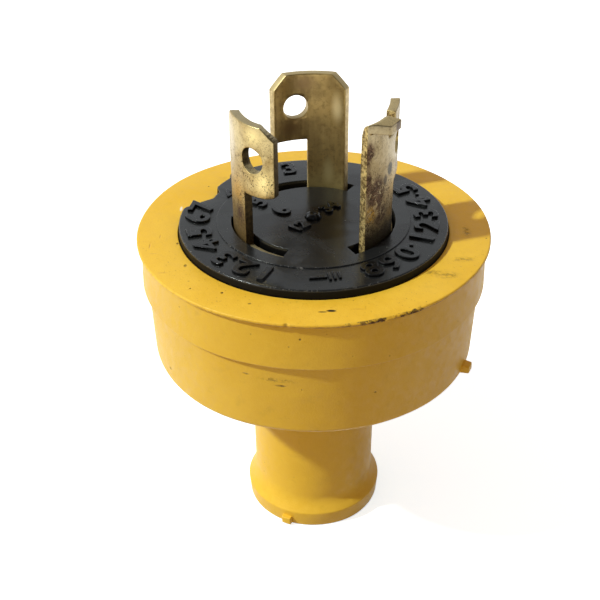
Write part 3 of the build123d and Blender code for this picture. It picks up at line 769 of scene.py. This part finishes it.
def mark_material(settings):
    """Deeper, glossier black of the raised marks, with a little dust and fine relief."""
    black = settings.mark_colour
    low, high = max(0.02, settings.roughness - 0.1), settings.roughness + 0.02
    material, n = new_material("black_plastic_marks", black, settings.roughness)
    place = n.millimetres()
    fine = n.noise(place, 2.6, 4.0, 0.65)
    dust = n.specks(place, 2.4, 0.12, 0.08)
    colour = n.mix(n.ramp(fine, 0.4, 0.7), black, scaled(black, 2.2))
    normal = n.add("ShaderNodeSeparateXYZ", Vector=n.add("ShaderNodeNewGeometry").outputs["True Normal"])
    n.shade(
        Base_Color=n.mix(n.times(dust, 0.5), colour, DUST),
        Roughness=n.plus(n.ramp(fine, 0.35, 0.7, low, high), n.times(dust, 0.3)),
        Specular_IOR_Level=n.ramp(normal.outputs["Z"], 0.35, 0.9, 0.12, 0.5),
    )
    n.bump(fine, 0.00006)
    return material


def mark_mesh(text, size, height, edge, boldness):
    """Mesh of one raised figure, flat in plan, with rounded edges."""
    curve = bpy.data.curves.new("figure", "FONT")
    curve.body = text
    curve.align_x = "CENTER"
    curve.align_y = "CENTER"
    curve.size = size * MM
    curve.extrude = (height - edge) * MM
    curve.bevel_depth = edge * MM
    curve.bevel_resolution = 2
    curve.resolution_u = 6
    curve.offset = boldness * MM
    return mesh_of(curve)


def build_marks(settings):
    """Plain raised numbers, dots, a bar and ticks on the contact face, as on a dial."""
    material = mark_material(bpy.context.scene.plug_face)
    tool = bmesh.new()
    knob = dish("centre_knob", KNOB_ROWS, material, 0.32)
    tool.from_mesh(knob.data)
    bpy.data.objects.remove(knob)

    def put(text, radius, degrees, turn, size, level, stretch=1.0):
        mesh = mark_mesh(text, size, settings.height, settings.edge, settings.boldness)
        mesh.transform(Matrix.Diagonal((stretch, 1.0, 1.0, 1.0)))
        x, y = polar(radius, degrees)
        mesh.transform(
            Matrix.Translation((x * MM, y * MM, level * MM)) @ Matrix.Rotation(math.radians(turn), 4, "Z"),
        )
        tool.from_mesh(mesh)
        bpy.data.meshes.remove(mesh)

    for text, angle in zip(settings.left_numbers.split(), LEFT_MARKS):
        put(text, MARK_RADIUS, angle, angle - 90, settings.size, FACE_Z, 1.25)
    for text, angle in zip(settings.right_numbers.split(), RIGHT_MARKS):
        put(text, MARK_RADIUS, angle, angle + 90, settings.size, FACE_Z, 1.15)
    for text, radius, angle, turn, scale in INNER_MARKS:
        level = PLATEAU_Z if radius < PLATEAU_RADIUS else FACE_Z
        put(text, radius, angle, turn, settings.size * scale, level)
    for x, y, length, width, turn in TICKS:
        bar = bmesh.new()
        bmesh.ops.create_cube(bar, size=1.0)
        middle = Vector((x, y, FACE_Z + settings.height * 0.25)) * MM
        size = Vector((length, width, settings.height * 1.1))
        for vertex in bar.verts:
            vertex.co = vertex.co * size * MM
        bmesh.ops.bevel(
            bar, geom=bar.edges[:], offset=settings.edge * 0.8 * MM, segments=2, affect="EDGES", profile=0.5,
        )
        bar.transform(Matrix.Translation(middle) @ Matrix.Rotation(math.radians(turn), 4, "Z"))
        mesh = bpy.data.meshes.new("tick")
        bar.to_mesh(mesh)
        bar.free()
        tool.from_mesh(mesh)
        bpy.data.meshes.remove(mesh)
    marks = object_from_tool("raised_marks", tool, material)
    weigh_normals(marks)
    settle(marks, 45.0)
    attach(marks, BODY)


# Blades


def brass_material(name, settings, look):
    """Tarnished brass after one blade's look: clean metal under a film, stains, pits and cut edges, with
    painted highlights and shade in a few patches and on the cut edges.
    """
    clean, film, rough = look["clean"], look["film"], look["rough"]
    material, n = new_material(name, clean, rough, look["metal"])
    place = n.millimetres()
    _, (_, _, height), flat = n.plan(place)
    broad = n.noise(place, 0.17, 4.0, 0.6, 0.5)
    fine = n.noise(place, 1.4, 5.0, 0.7)
    streaks = n.noise(n.millimetres((1000.0, 1000.0, 45.0)), 0.7, 3.0, 0.6)
    colour = n.mix(n.ramp(broad, 0.36, 0.64), clean, film)
    streak = n.ramp(streaks, 0.42, 0.68, 0.0, settings.streak * look["streak"])
    colour = n.mix(streak, colour, scaled(clean, 1.35))
    colour = n.mix(n.ramp(fine, 0.46, 0.72, 0.0, 0.55), colour, scaled(film, 0.55))

    # Discoloured foot and single patches: stains, and a few painted highlights, sheen and shade
    worn_colour, full, ends = look["foot"]
    stained = n.ramp(n.plus(height, n.times(n.minus(fine, 0.5), 6.0)), ends, full)
    colour = n.mix(n.times(stained, 0.9), colour, worn_colour)
    torn = n.ramp(n.noise(place, 0.9, 6.0, 0.75, 0.6), 0.4, 0.49)
    for centre, size, tint, softness, ragged in look["patches"]:
        mask = n.blot(place, centre, size, softness)
        if ragged:
            mask = n.times(mask, torn)
            stained = n.most(stained, mask)
        colour = n.mix(mask, colour, tint)
    relief = n.plus(n.times(fine, 0.4), n.times(broad, 0.6))
    if look["net"]:
        net = n.times(n.veins(place, 0.85, 0.06, 5.0), stained, look["net"])
        colour = n.mix(net, colour, scaled(settings.stain, 0.3))
        relief = n.minus(relief, n.times(net, 0.5))

    # Pits, denser low down
    thick = n.ramp(n.noise(place, 0.4, 3.0), 0.36, 0.6, 0.3, 1.0)
    low = n.ramp(height, look["pits_from"] + 5.0, look["pits_from"], 0.4, 1.0)
    limit = 0.74 - 0.2 * look["pits"]
    large = n.ramp(n.noise(place, 3.1, 2.0), limit, limit + 0.05)
    small = n.ramp(n.noise(place, 6.0, 1.0), limit + 0.02, limit + 0.08)
    dots = n.times(n.most(large, small), thick, low)
    colour = n.mix(n.times(dots, 0.85), colour, BRASS_PIT)

    # Cut edges, found where the surface turns away from the blade's curve. Painted light: cuts that face up
    # take the lighter top colour, the sides a darker shaded one
    normal = n.add("ShaderNodeNewGeometry").outputs["True Normal"]
    outward = n.vector("NORMALIZE", 0, i0=flat)
    cut = n.ramp(n.maths("ABSOLUTE", n.vector("DOT_PRODUCT", "Value", i0=normal, i1=outward)), 0.62, 0.4)
    upward = n.ramp(n.add("ShaderNodeSeparateXYZ", Vector=normal).outputs["Z"], 0.5, 0.8)
    side = n.mix(n.ramp(fine, 0.42, 0.6), look["side_dark"], look["side_light"])
    edge = n.mix(n.times(dots, 0.7), n.mix(upward, side, look["top"]), BRASS_PIT)
    roughness = n.ramp(broad, 0.3, 0.7, rough - 0.05, rough + 0.08)
    n.shade(
        Base_Color=n.mix(n.times(cut, 0.88), colour, edge),
        Roughness=n.plus(roughness, n.times(stained, 0.16), n.times(n.most(dots, cut), 0.14)),
    )
    n.bump(n.minus(relief, n.times(dots, 0.6)), settings.grain * MM)
    return material


def blade_looks(settings):
    """Name, finish and depth of the dents of each blade.

    foot is (colour, height where it is full, height where it ends). Each patch is (centre, half
    sizes, colour, softness, ragged); most are stains, a few are painted highlights, sheen or shade).
    """
    clean, dull, stain = tuple(settings.clean), tuple(settings.dull), tuple(settings.stain)
    # In each look, top is the painted-light colour of the cut edges that face up, side_dark and side_light
    # the darker shaded colours of the cut sides
    rear = {
        "clean": dull, "film": (0.27, 0.185, 0.065), "rough": 0.33, "metal": 0.72, "streak": 1.0,
        "pits": 0.05, "pits_from": 60.0,
        "foot": ((0.42, 0.33, 0.13), 56.0, 61.0), "net": 0.0,
        "side_dark": (0.4, 0.31, 0.15), "side_light": (0.62, 0.5, 0.26), "top": (0.55, 0.44, 0.22),
        "patches": (
            # Painted highlight: a pale spot on the stem
            ((3.9, 10.7, 71.0), (1.3, 2.0, 3.6), (0.85, 0.7, 0.36), 0.9, False),
            ((2.5, 11.1, 59.6), (1.4, 2.0, 3.2), (0.55, 0.45, 0.2), 0.9, False),
            ((-3.8, 10.7, 67.4), (2.6, 2.5, 2.6), (0.2, 0.125, 0.045), 0.9, False),
            ((-1.6, 11.2, 75.0), (3.0, 2.5, 2.0), (0.26, 0.17, 0.07), 0.9, False),
            ((5.6, 10.0, 63.0), (0.7, 2.0, 5.0), (0.3, 0.24, 0.1), 0.9, False),
        ),
    }
    left = {
        "clean": scaled(clean, 0.88), "film": (0.4, 0.285, 0.11), "rough": 0.34, "metal": 0.9,
        "streak": 0.3, "pits": 0.78, "pits_from": 69.0,
        "foot": ((0.3, 0.185, 0.06), 57.0, 66.5), "net": 0.3,
        "side_dark": (0.035, 0.024, 0.011), "side_light": (0.1, 0.07, 0.03), "top": (0.5, 0.41, 0.23),
        "patches": (
            # Painted sheen: a pale reflection on the left of the stem
            ((-12.4, -3.6, 72.0), (1.6, 3.0, 5.0), (0.62, 0.53, 0.37), 0.9, False),
            ((-11.5, -5.6, 65.0), (1.8, 3.2, 3.6), (0.5, 0.32, 0.09), 0.95, False),
            ((-11.3, -6.1, 61.0), (1.6, 2.4, 2.6), stain, 0.9, True),
            ((-7.6, -8.6, 72.6), (2.4, 2.4, 2.0), (0.42, 0.31, 0.13), 0.9, True),
            # Painted highlight: the sun's glint low on the hook
            ((-7.2, -9.9, 67.6), (2.6, 2.4, 3.0), (0.9, 0.74, 0.34), 0.95, False),
            ((-8.9, -8.9, 75.0), (2.2, 2.2, 1.8), (0.75, 0.6, 0.27), 0.95, False),
        ),
    }
    ground = {
        "clean": (0.36, 0.29, 0.165), "film": (0.25, 0.185, 0.085), "rough": 0.38, "metal": 0.85,
        "streak": 0.3, "pits": 0.85, "pits_from": 66.0,
        "foot": ((0.035, 0.03, 0.014), 57.5, 61.5), "net": 1.0,
        "side_dark": (0.2, 0.13, 0.045), "side_light": (0.85, 0.66, 0.28), "top": (0.62, 0.48, 0.23),
        "patches": (
            ((12.3, -4.4, 66.0), (1.3, 3.0, 6.0), (0.42, 0.33, 0.17), 0.9, False),
            ((9.5, -8.6, 65.2), (2.8, 2.6, 3.8), scaled(stain, 0.75), 0.5, True),
            ((8.3, -10.0, 72.4), (1.3, 1.3, 2.6), stain, 0.6, True),
            ((8.2, -10.1, 67.8), (1.0, 1.0, 3.0), stain, 0.6, True),
            ((10.4, -7.6, 61.5), (2.8, 2.6, 2.2), scaled(stain, 0.6), 0.85, True),
            ((8.7, -9.6, 62.2), (1.5, 1.5, 1.9), (0.42, 0.26, 0.06), 0.6, True),
            ((12.0, -5.0, 60.6), (1.6, 2.2, 2.0), (0.3, 0.2, 0.07), 0.85, False),
            ((11.6, -5.6, 68.2), (0.8, 1.0, 1.25), (0.075, 0.07, 0.05), 0.35, False),
            ((10.9, -6.9, 66.9), (0.6, 0.7, 1.1), (0.08, 0.06, 0.035), 0.5, False),
            # Painted shade on the bent tab's end face
            ((12.2, -7.4, 76.1), (1.0, 1.0, 1.3), (0.1, 0.065, 0.04), 0.5, False),
        ),
    }
    return {
        "line_blade_a": ("rear_blade", rear, 0.04, None),
        "line_blade_b": ("left_blade", left, 0.06, square_hook_end),
        "ground_blade": ("bent_tab_blade", ground, 0.1, widen_tab),
    }


def eased(low, high, value):
    """0 below a range, 1 above it and a smooth step between."""
    share = min(1.0, max(0.0, (value - low) / (high - low)))
    return share * share * (3 - 2 * share)


def square_hook_end(point):
    """Turns the end of the left blade's hook square to its own curve."""
    if point.z < 64.5 or point.x < -7.4:
        return point
    share = eased(-7.4, -5.5, point.x)
    outer = min(1.0, max(0.0, (-8.9 - point.y) / 1.5))
    return point + share * Vector((0.18 - 0.54 * outer, 0.29 + 0.35 * outer, 0.0))


def widen_tab(point):
    """Spreads the outer end of the bent tab."""
    along = Vector((*polar(1.0, TAB_DIRECTION), 0.0))
    across = Vector((-along.y, along.x, 0.0))
    share = eased(12.9, 14.1, point.dot(along)) * eased(74.6, 75.3, point.z)
    if point.dot(across) > 3.0:
        return point
    drop = -0.4 if point.z < 76.1 else 0.0
    lift = 0.45 * eased(75.4, 76.2, point.z) * (1.0 - eased(12.6, 14.0, point.dot(along)))
    spread = share * (along * 0.28 + across * (0.44 * point.dot(across) + 0.13) + Vector((0.0, 0.0, drop)))
    return point + spread + Vector((0.0, 0.0, lift))


def build_blade(name, cad_name, settings, material, dents, reshape=None):
    """A blade with soft stamped edges, from its CAD solid."""
    tool = bmesh.new()
    tool.from_mesh(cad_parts[cad_name].data)
    bmesh.ops.remove_doubles(tool, verts=tool.verts[:], dist=0.002 * MM)
    bmesh.ops.dissolve_limit(tool, angle_limit=math.radians(0.6), verts=tool.verts[:], edges=tool.edges[:])
    hole = Vector((*polar(SLOT_RADII[1] - 1.0, HOLE_ANGLES[cad_name]), HOLE_Z)) * MM
    round_hole, straight = [], []
    for edge in tool.edges:
        if len(edge.link_faces) == 2 and edge.calc_face_angle() > math.radians(32):
            middle = (edge.verts[0].co + edge.verts[1].co) / 2
            (round_hole if (middle - hole).length < 3.2 * MM else straight).append(edge)
    small = min(0.06, settings.edge_round)
    for edges, offset, segments in ((round_hole, small, 1), (straight, settings.edge_round, 3)):
        bmesh.ops.bevel(
            tool, geom=edges, offset=offset * MM, segments=segments, profile=0.5, affect="EDGES",
            clamp_overlap=False, loop_slide=True, miter_outer="ARC",
        )
    bmesh.ops.dissolve_degenerate(tool, dist=0.01 * MM, edges=tool.edges[:])
    bmesh.ops.triangulate(tool, faces=[face for face in tool.faces if len(face.verts) > 4])
    low = min(vertex.co.z for vertex in tool.verts)
    high = max(vertex.co.z for vertex in tool.verts)
    step = 0.9 * MM
    height = low + step
    while height < high:
        geometry = tool.verts[:] + tool.edges[:] + tool.faces[:]
        bmesh.ops.bisect_plane(
            tool, geom=geometry, dist=0.00001 * MM, plane_co=(0, 0, height), plane_no=(0, 0, 1),
        )
        height += step
    bmesh.ops.triangulate(tool, faces=[face for face in tool.faces if len(face.verts) > 4])
    tool.normal_update()
    for vertex in tool.verts:
        point = vertex.co * 1000.0
        if reshape:
            point = reshape(point)
            vertex.co = point * MM
        wave = noise.noise(point * 0.22) * 0.7 + noise.noise(point * 0.8) * 0.3
        vertex.co += Vector((point.x, point.y, 0.0)).normalized() * wave * dents * MM
    blade = object_from_tool(name, tool, material)
    weigh_normals(blade)
    settle(blade, 50.0)
    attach(blade, BODY)
    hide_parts(cad_name)


# Inner parts


def nylon_material(settings):
    """Natural nylon of the carrier and the cord clamp."""
    white = settings.nylon_colour
    material, n = new_material("natural_nylon", white, 0.48)
    place = n.millimetres()
    n.shade(Base_Color=n.mix(n.ramp(n.noise(place, 0.3, 3.0), 0.35, 0.65), white, scaled(white, 0.9)))
    n.bump(n.noise(place, 2.4, 3.0), 0.00004)
    return material


def screw_material(name, colour, roughness):
    """Plated metal of screws, plates and nuts, with fine turning marks."""
    material, n = new_material(name, colour, roughness, 1.0)
    place = n.millimetres()
    grain = n.noise(place, 3.2, 4.0, 0.7)
    n.shade(
        Base_Color=n.mix(n.ramp(n.noise(place, 0.6, 3.0), 0.35, 0.7), colour, scaled(colour, 0.7)),
        Roughness=n.ramp(grain, 0.3, 0.7, roughness - 0.05, roughness + 0.12),
    )
    n.bump(grain, 0.00002)
    return material


def dress(cad_name, material):
    """Gives a CAD solid its material."""
    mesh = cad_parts[cad_name].data
    mesh.materials.clear()
    mesh.materials.append(material)


# Stage


def build_floor(settings):
    """Floor that is white where it is seen and dim where it lights the object."""
    tone = settings.floor_tone
    material, n = new_material("stage_floor", (tone, tone * 0.8, tone * 0.62), 0.9)
    n.shade(Specular_IOR_Level=0.0)
    white = n.add("ShaderNodeBsdfDiffuse", Color=(1, 1, 1, 1))
    glow = n.add("ShaderNodeEmission", Color=FLOOR_GLOW, Strength=FLOOR_GLOW_STRENGTH)
    bright = n.add("ShaderNodeAddShader", i0=white.outputs[0], i1=glow.outputs[0])
    mixed = n.add("ShaderNodeMixShader", i0=n.seen(), i1=n.shader.outputs[0], i2=bright.outputs[0])
    n.plug(mixed.outputs[0], n.tree.nodes["Material Output"].inputs["Surface"])
    size = FLOOR_HALF_SIZE
    corners = [(-size, -size, 0), (size, -size, 0), (size, size, 0), (-size, size, 0)]
    object_from("stage_floor", corners, [(0, 1, 2, 3)], material)


def build_sky(scene, settings):
    """Sky that is stronger on the left, with a plain backdrop for the rays that see it."""
    world = bpy.data.worlds.new("studio")
    scene.world = world
    world.use_nodes = True
    n = Nodes(world.node_tree)
    background = n.tree.nodes["Background"]
    direction = n.add("ShaderNodeTexCoord").outputs["Generated"]
    parts = n.add("ShaderNodeSeparateXYZ", Vector=direction)
    across, depth, height = (parts.outputs[axis] for axis in "XYZ")
    side = n.ramp(across, -1.0, 1.0, 1.0 + settings.side_light, 1.0 - settings.side_light, smooth=False)
    n.plug(n.times(side, settings.sky), background.inputs["Strength"])
    n.plug(SKY_COLOUR, background.inputs["Color"])
    rear = n.times(n.ramp(depth, -0.1, 0.55), n.ramp(height, 0.95, 0.7, 0.0, 0.55))
    left = n.ramp(across, -0.1, -0.9, 0.0, 0.6)
    low = n.ramp(height, 0.3, 0.0, 0.0, 0.45)
    level = n.maths("MINIMUM", n.plus(n.plus(rear, left), n.plus(low, 0.13)), 1.0)
    seen = n.add("ShaderNodeBackground", Color=BACKDROP_COLOUR, Strength=level)
    both = n.add("ShaderNodeMixShader", i0=n.seen(), i1=background.outputs[0], i2=seen.outputs[0])
    n.plug(both.outputs[0], n.tree.nodes["World Output"].inputs["Surface"])


def build_key(settings):
    """The one lamp, from the upper left."""
    sun = bpy.data.lights.new("key", "SUN")
    sun.energy = settings.key_power
    sun.angle = settings.key_angle
    sun.color = KEY_COLOUR
    key = placed("key", sun)
    towards = Vector(KEY_DIRECTION)
    key.rotation_euler = towards.to_track_quat("Z", "Y").to_euler()
    key.location = towards * 0.6


def build_camera(scene, settings):
    """Camera at the photograph's viewing angle."""
    data = bpy.data.cameras.new("photo_view")
    data.lens = settings.lens
    data.sensor_width = SENSOR_WIDTH
    data.clip_start = 0.005
    data.clip_end = 20.0
    camera = placed("photo_view", data)
    centre = Vector((0.0, -math.cos(CAMERA_ELEVATION), math.sin(CAMERA_ELEVATION))) * CAMERA_DISTANCE
    forward = -centre.normalized()
    right = Vector((1.0, 0.0, 0.0))
    pan, tilt, roll = CAMERA_PAN, CAMERA_TILT, CAMERA_ROLL
    aim = Matrix(((math.cos(pan), 0, math.sin(pan)), (0, 1, 0), (-math.sin(pan), 0, math.cos(pan))))
    nod = Matrix(((1, 0, 0), (0, math.cos(tilt), -math.sin(tilt)), (0, math.sin(tilt), math.cos(tilt))))
    spin = Matrix(((math.cos(roll), -math.sin(roll), 0), (math.sin(roll), math.cos(roll), 0), (0, 0, 1)))
    across, upward, ahead = spin @ nod @ aim @ Matrix((right, right.cross(forward), forward))
    matrix = Matrix((across, upward, -ahead)).transposed().to_4x4()
    matrix.translation = centre + Vector((0, 0, RIM_Z * MM))
    camera.matrix_world = matrix
    scene.camera = camera


def build_stage(scene, settings):
    """White floor and sky, one key light and the camera."""
    build_floor(settings)
    build_sky(scene, settings)
    build_key(settings)
    build_camera(scene, settings)
    scene.view_settings.view_transform = "Standard"


# Settings

COLOUR = {"subtype": "COLOR", "size": 3, "min": 0, "max": 1}
SHARE = {"subtype": "FACTOR", "min": 0, "max": 1}


class PlugRubberSettings(bpy.types.PropertyGroup):
    """Sizes and colours of the rubber body."""

    colour: FloatVectorProperty(
        name="Rubber", description="Colour of the rubber", default=(0.85, 0.53, 0.035), **COLOUR,
    )
    second_colour: FloatVectorProperty(
        name="Second tone", description="Slightly paler tone of the rubber",
        default=(0.89, 0.58, 0.055), **COLOUR,
    )
    dirt_colour: FloatVectorProperty(
        name="Dirt", description="Colour of specks and scuffs", default=(0.1, 0.05, 0.015), **COLOUR,
    )
    roughness: FloatProperty(name="Roughness", description="Roughness of the rubber", default=0.44, **SHARE)
    unevenness: FloatProperty(
        name="Unevenness", description="How far the soft body is out of round, in mm",
        default=0.25, min=0, max=1,
    )


class PlugFaceSettings(bpy.types.PropertyGroup):
    """Sizes and colours of the contact face."""

    colour: FloatVectorProperty(
        name="Plastic", description="Colour of the contact face", default=(0.012, 0.0135, 0.0145), **COLOUR,
    )
    worn_colour: FloatVectorProperty(
        name="Worn plastic", description="Colour where the face is handled",
        default=(0.015, 0.0165, 0.0165), **COLOUR,
    )
    mark_colour: FloatVectorProperty(
        name="Raised marks", description="Colour of the raised marks",
        default=(0.0015, 0.0016, 0.0018), **COLOUR,
    )
    roughness: FloatProperty(name="Roughness", description="Roughness of the plastic", default=0.2, **SHARE)
    edge_round: FloatProperty(
        name="Edge rounding", description="Rounding of the edges, in mm", default=0.16, min=0.02, max=0.5,
    )


class PlugMarkSettings(bpy.types.PropertyGroup):
    """Raised numbers on the contact face."""

    left_numbers: StringProperty(
        name="Left numbers", description="Numbers on the left of the ring", default="1 2 3 4 5 6 7",
    )
    right_numbers: StringProperty(
        name="Right numbers", description="Numbers on the right of the ring", default="8 9 0 1 2 3 4 5",
    )
    size: FloatProperty(name="Size", description="Size of the numbers, in mm", default=5.3, min=1, max=6)
    height: FloatProperty(
        name="Height", description="Height of the numbers, in mm", default=0.42, min=0.05, max=0.8,
    )
    edge: FloatProperty(
        name="Edge", description="Rounding of the numbers, in mm", default=0.1, min=0.01, max=0.3,
    )
    boldness: FloatProperty(
        name="Boldness", description="How far the strokes are thickened, in mm",
        default=0.07, min=0, max=0.2,
    )


class PlugBladeSettings(bpy.types.PropertyGroup):
    """Brass blades."""

    clean: FloatVectorProperty(
        name="Brass", description="Colour of clean brass", default=(0.62, 0.49, 0.235), **COLOUR,
    )
    dull: FloatVectorProperty(
        name="Dull brass", description="Colour under a film of tarnish",
        default=(0.43, 0.305, 0.11), **COLOUR,
    )
    stain: FloatVectorProperty(
        name="Stain", description="Colour of the brown stain", default=(0.15, 0.088, 0.05), **COLOUR,
    )
    streak: FloatProperty(
        name="Streaks", description="Strength of the upright drawing marks", default=0.4, **SHARE,
    )
    edge_round: FloatProperty(
        name="Edge rounding", description="Rounding of the stamped edges, in mm",
        default=0.18, min=0.02, max=0.6,
    )
    grain: FloatProperty(
        name="Grain", description="Depth of the surface grain, in mm", default=0.035, min=0, max=0.3,
    )


class PlugInnerSettings(bpy.types.PropertyGroup):
    """Carrier, cord clamp and screws."""

    nylon_colour: FloatVectorProperty(
        name="Nylon", description="Colour of carrier and clamp", default=(0.7, 0.66, 0.55), **COLOUR,
    )
    steel_colour: FloatVectorProperty(
        name="Plated steel", description="Colour of screws and plates",
        default=(0.56, 0.56, 0.55), **COLOUR,
    )


class PlugStageSettings(bpy.types.PropertyGroup):
    """Camera, lights and floor."""

    lens: FloatProperty(
        name="Lens", description="Focal length for a sensor 36 mm wide", default=66.28, min=10, max=200,
    )
    key_power: FloatProperty(
        name="Key light", description="Strength of the key light", default=2.6, min=0, max=20,
    )
    key_angle: FloatProperty(
        name="Key softness", description="Angle of the key light", subtype="ANGLE",
        default=math.radians(3.0),
    )
    sky: FloatProperty(
        name="Sky", description="Strength of the sky for diffuse light", default=0.5, min=0, max=3,
    )
    side_light: FloatProperty(
        name="Side light", description="How much brighter the sky is on the left than on the right",
        default=0.62, **SHARE,
    )
    floor_tone: FloatProperty(
        name="Floor", description="Tone of the floor for diffuse light", default=0.25, **SHARE,
    )


# Operators


class PLUG_OT_rubber(bpy.types.Operator):
    """Build the yellow rubber body"""

    bl_idname = "plug.rubber"
    bl_label = "Rubber body"

    def execute(self, context):
        build_rubber(context.scene.plug_rubber)
        return {"FINISHED"}


class PLUG_OT_face(bpy.types.Operator):
    """Build the black contact face"""

    bl_idname = "plug.face"
    bl_label = "Contact face"

    def execute(self, context):
        build_face(context.scene.plug_face)
        return {"FINISHED"}


class PLUG_OT_marks(bpy.types.Operator):
    """Build the raised numbers and ticks on the contact face"""

    bl_idname = "plug.marks"
    bl_label = "Raised marks"

    def execute(self, context):
        build_marks(context.scene.plug_marks)
        return {"FINISHED"}


class PLUG_OT_blades(bpy.types.Operator):
    """Build the three brass blades"""

    bl_idname = "plug.blades"
    bl_label = "Blades"

    def execute(self, context):
        settings = context.scene.plug_blades
        for cad_name, (name, look, dents, reshape) in blade_looks(settings).items():
            material = brass_material("brass_" + name, settings, look)
            build_blade(name, cad_name, settings, material, dents, reshape)
        return {"FINISHED"}


class PLUG_OT_inner(bpy.types.Operator):
    """Give the carrier, cord clamp, plates, screws and nuts their finishes"""

    bl_idname = "plug.inner"
    bl_label = "Inner parts"

    def execute(self, context):
        settings = context.scene.plug_inner
        nylon = nylon_material(settings)
        steel = screw_material("plated_steel", tuple(settings.steel_colour), 0.32)
        brass = screw_material("brass_screw", BRIGHT_SCREW, 0.3)
        green = screw_material("green_screw", GREEN_SCREW, 0.35)
        finishes = {
            "terminal_carrier": nylon, "cord_clamp_left": nylon, "cord_clamp_right": nylon,
            "terminal_screw_a": brass, "terminal_screw_ground": green,
        }
        replaced = {"rubber_body", "face_insulator", "line_blade_a", "line_blade_b", "ground_blade"}
        for cad_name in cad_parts:
            if cad_name not in replaced:
                dress(cad_name, finishes.get(cad_name, steel))
        return {"FINISHED"}


class PLUG_OT_stage(bpy.types.Operator):
    """Set up the floor, sky, key light and camera"""

    bl_idname = "plug.stage"
    bl_label = "Stage"

    def execute(self, context):
        build_stage(context.scene, context.scene.plug_stage)
        return {"FINISHED"}


class PLUG_PT_panel(bpy.types.Panel):
    """Lists the plug's operators and settings"""

    bl_label = "Locking power plug"
    bl_idname = "PLUG_PT_panel"
    bl_space_type = "VIEW_3D"
    bl_region_type = "UI"
    bl_category = "Plug"

    def draw(self, context):
        for settings_name, operator, fields in PANEL_ROWS:
            box = self.layout.box()
            box.operator(operator)
            settings = getattr(context.scene, settings_name)
            for field in fields:
                box.prop(settings, field)


PANEL_ROWS = (
    ("plug_rubber", "plug.rubber", ("colour", "second_colour", "dirt_colour", "roughness", "unevenness")),
    ("plug_face", "plug.face", ("colour", "worn_colour", "mark_colour", "roughness", "edge_round")),
    ("plug_marks", "plug.marks", ("left_numbers", "right_numbers", "size", "height", "edge", "boldness")),
    ("plug_blades", "plug.blades", ("clean", "dull", "stain", "streak", "edge_round", "grain")),
    ("plug_inner", "plug.inner", ("nylon_colour", "steel_colour")),
    ("plug_stage", "plug.stage", ("lens", "key_power", "key_angle", "sky", "side_light", "floor_tone")),
)

SETTINGS = {
    "plug_rubber": PlugRubberSettings,
    "plug_face": PlugFaceSettings,
    "plug_marks": PlugMarkSettings,
    "plug_blades": PlugBladeSettings,
    "plug_inner": PlugInnerSettings,
    "plug_stage": PlugStageSettings,
}

OPERATORS = (PLUG_OT_rubber, PLUG_OT_face, PLUG_OT_marks, PLUG_OT_blades, PLUG_OT_inner, PLUG_OT_stage)


def register():
    """Registers the settings, operators and panel."""
    for settings_name, settings_class in SETTINGS.items():
        bpy.utils.register_class(settings_class)
        setattr(bpy.types.Scene, settings_name, PointerProperty(type=settings_class))
    for operator in OPERATORS:
        bpy.utils.register_class(operator)
    bpy.utils.register_class(PLUG_PT_panel)


def unregister():
    """Removes what register added."""
    bpy.utils.unregister_class(PLUG_PT_panel)
    for operator in reversed(OPERATORS):
        bpy.utils.unregister_class(operator)
    for settings_name, settings_class in SETTINGS.items():
        delattr(bpy.types.Scene, settings_name)
        bpy.utils.unregister_class(settings_class)


def main():
    """Builds everything in order."""
    register()
    bpy.ops.plug.stage()
    bpy.ops.plug.rubber()
    bpy.ops.plug.face()
    bpy.ops.plug.marks()
    bpy.ops.plug.blades()
    bpy.ops.plug.inner()
    bpy.context.view_layer.update()


if __name__ == "__main__":
    main()
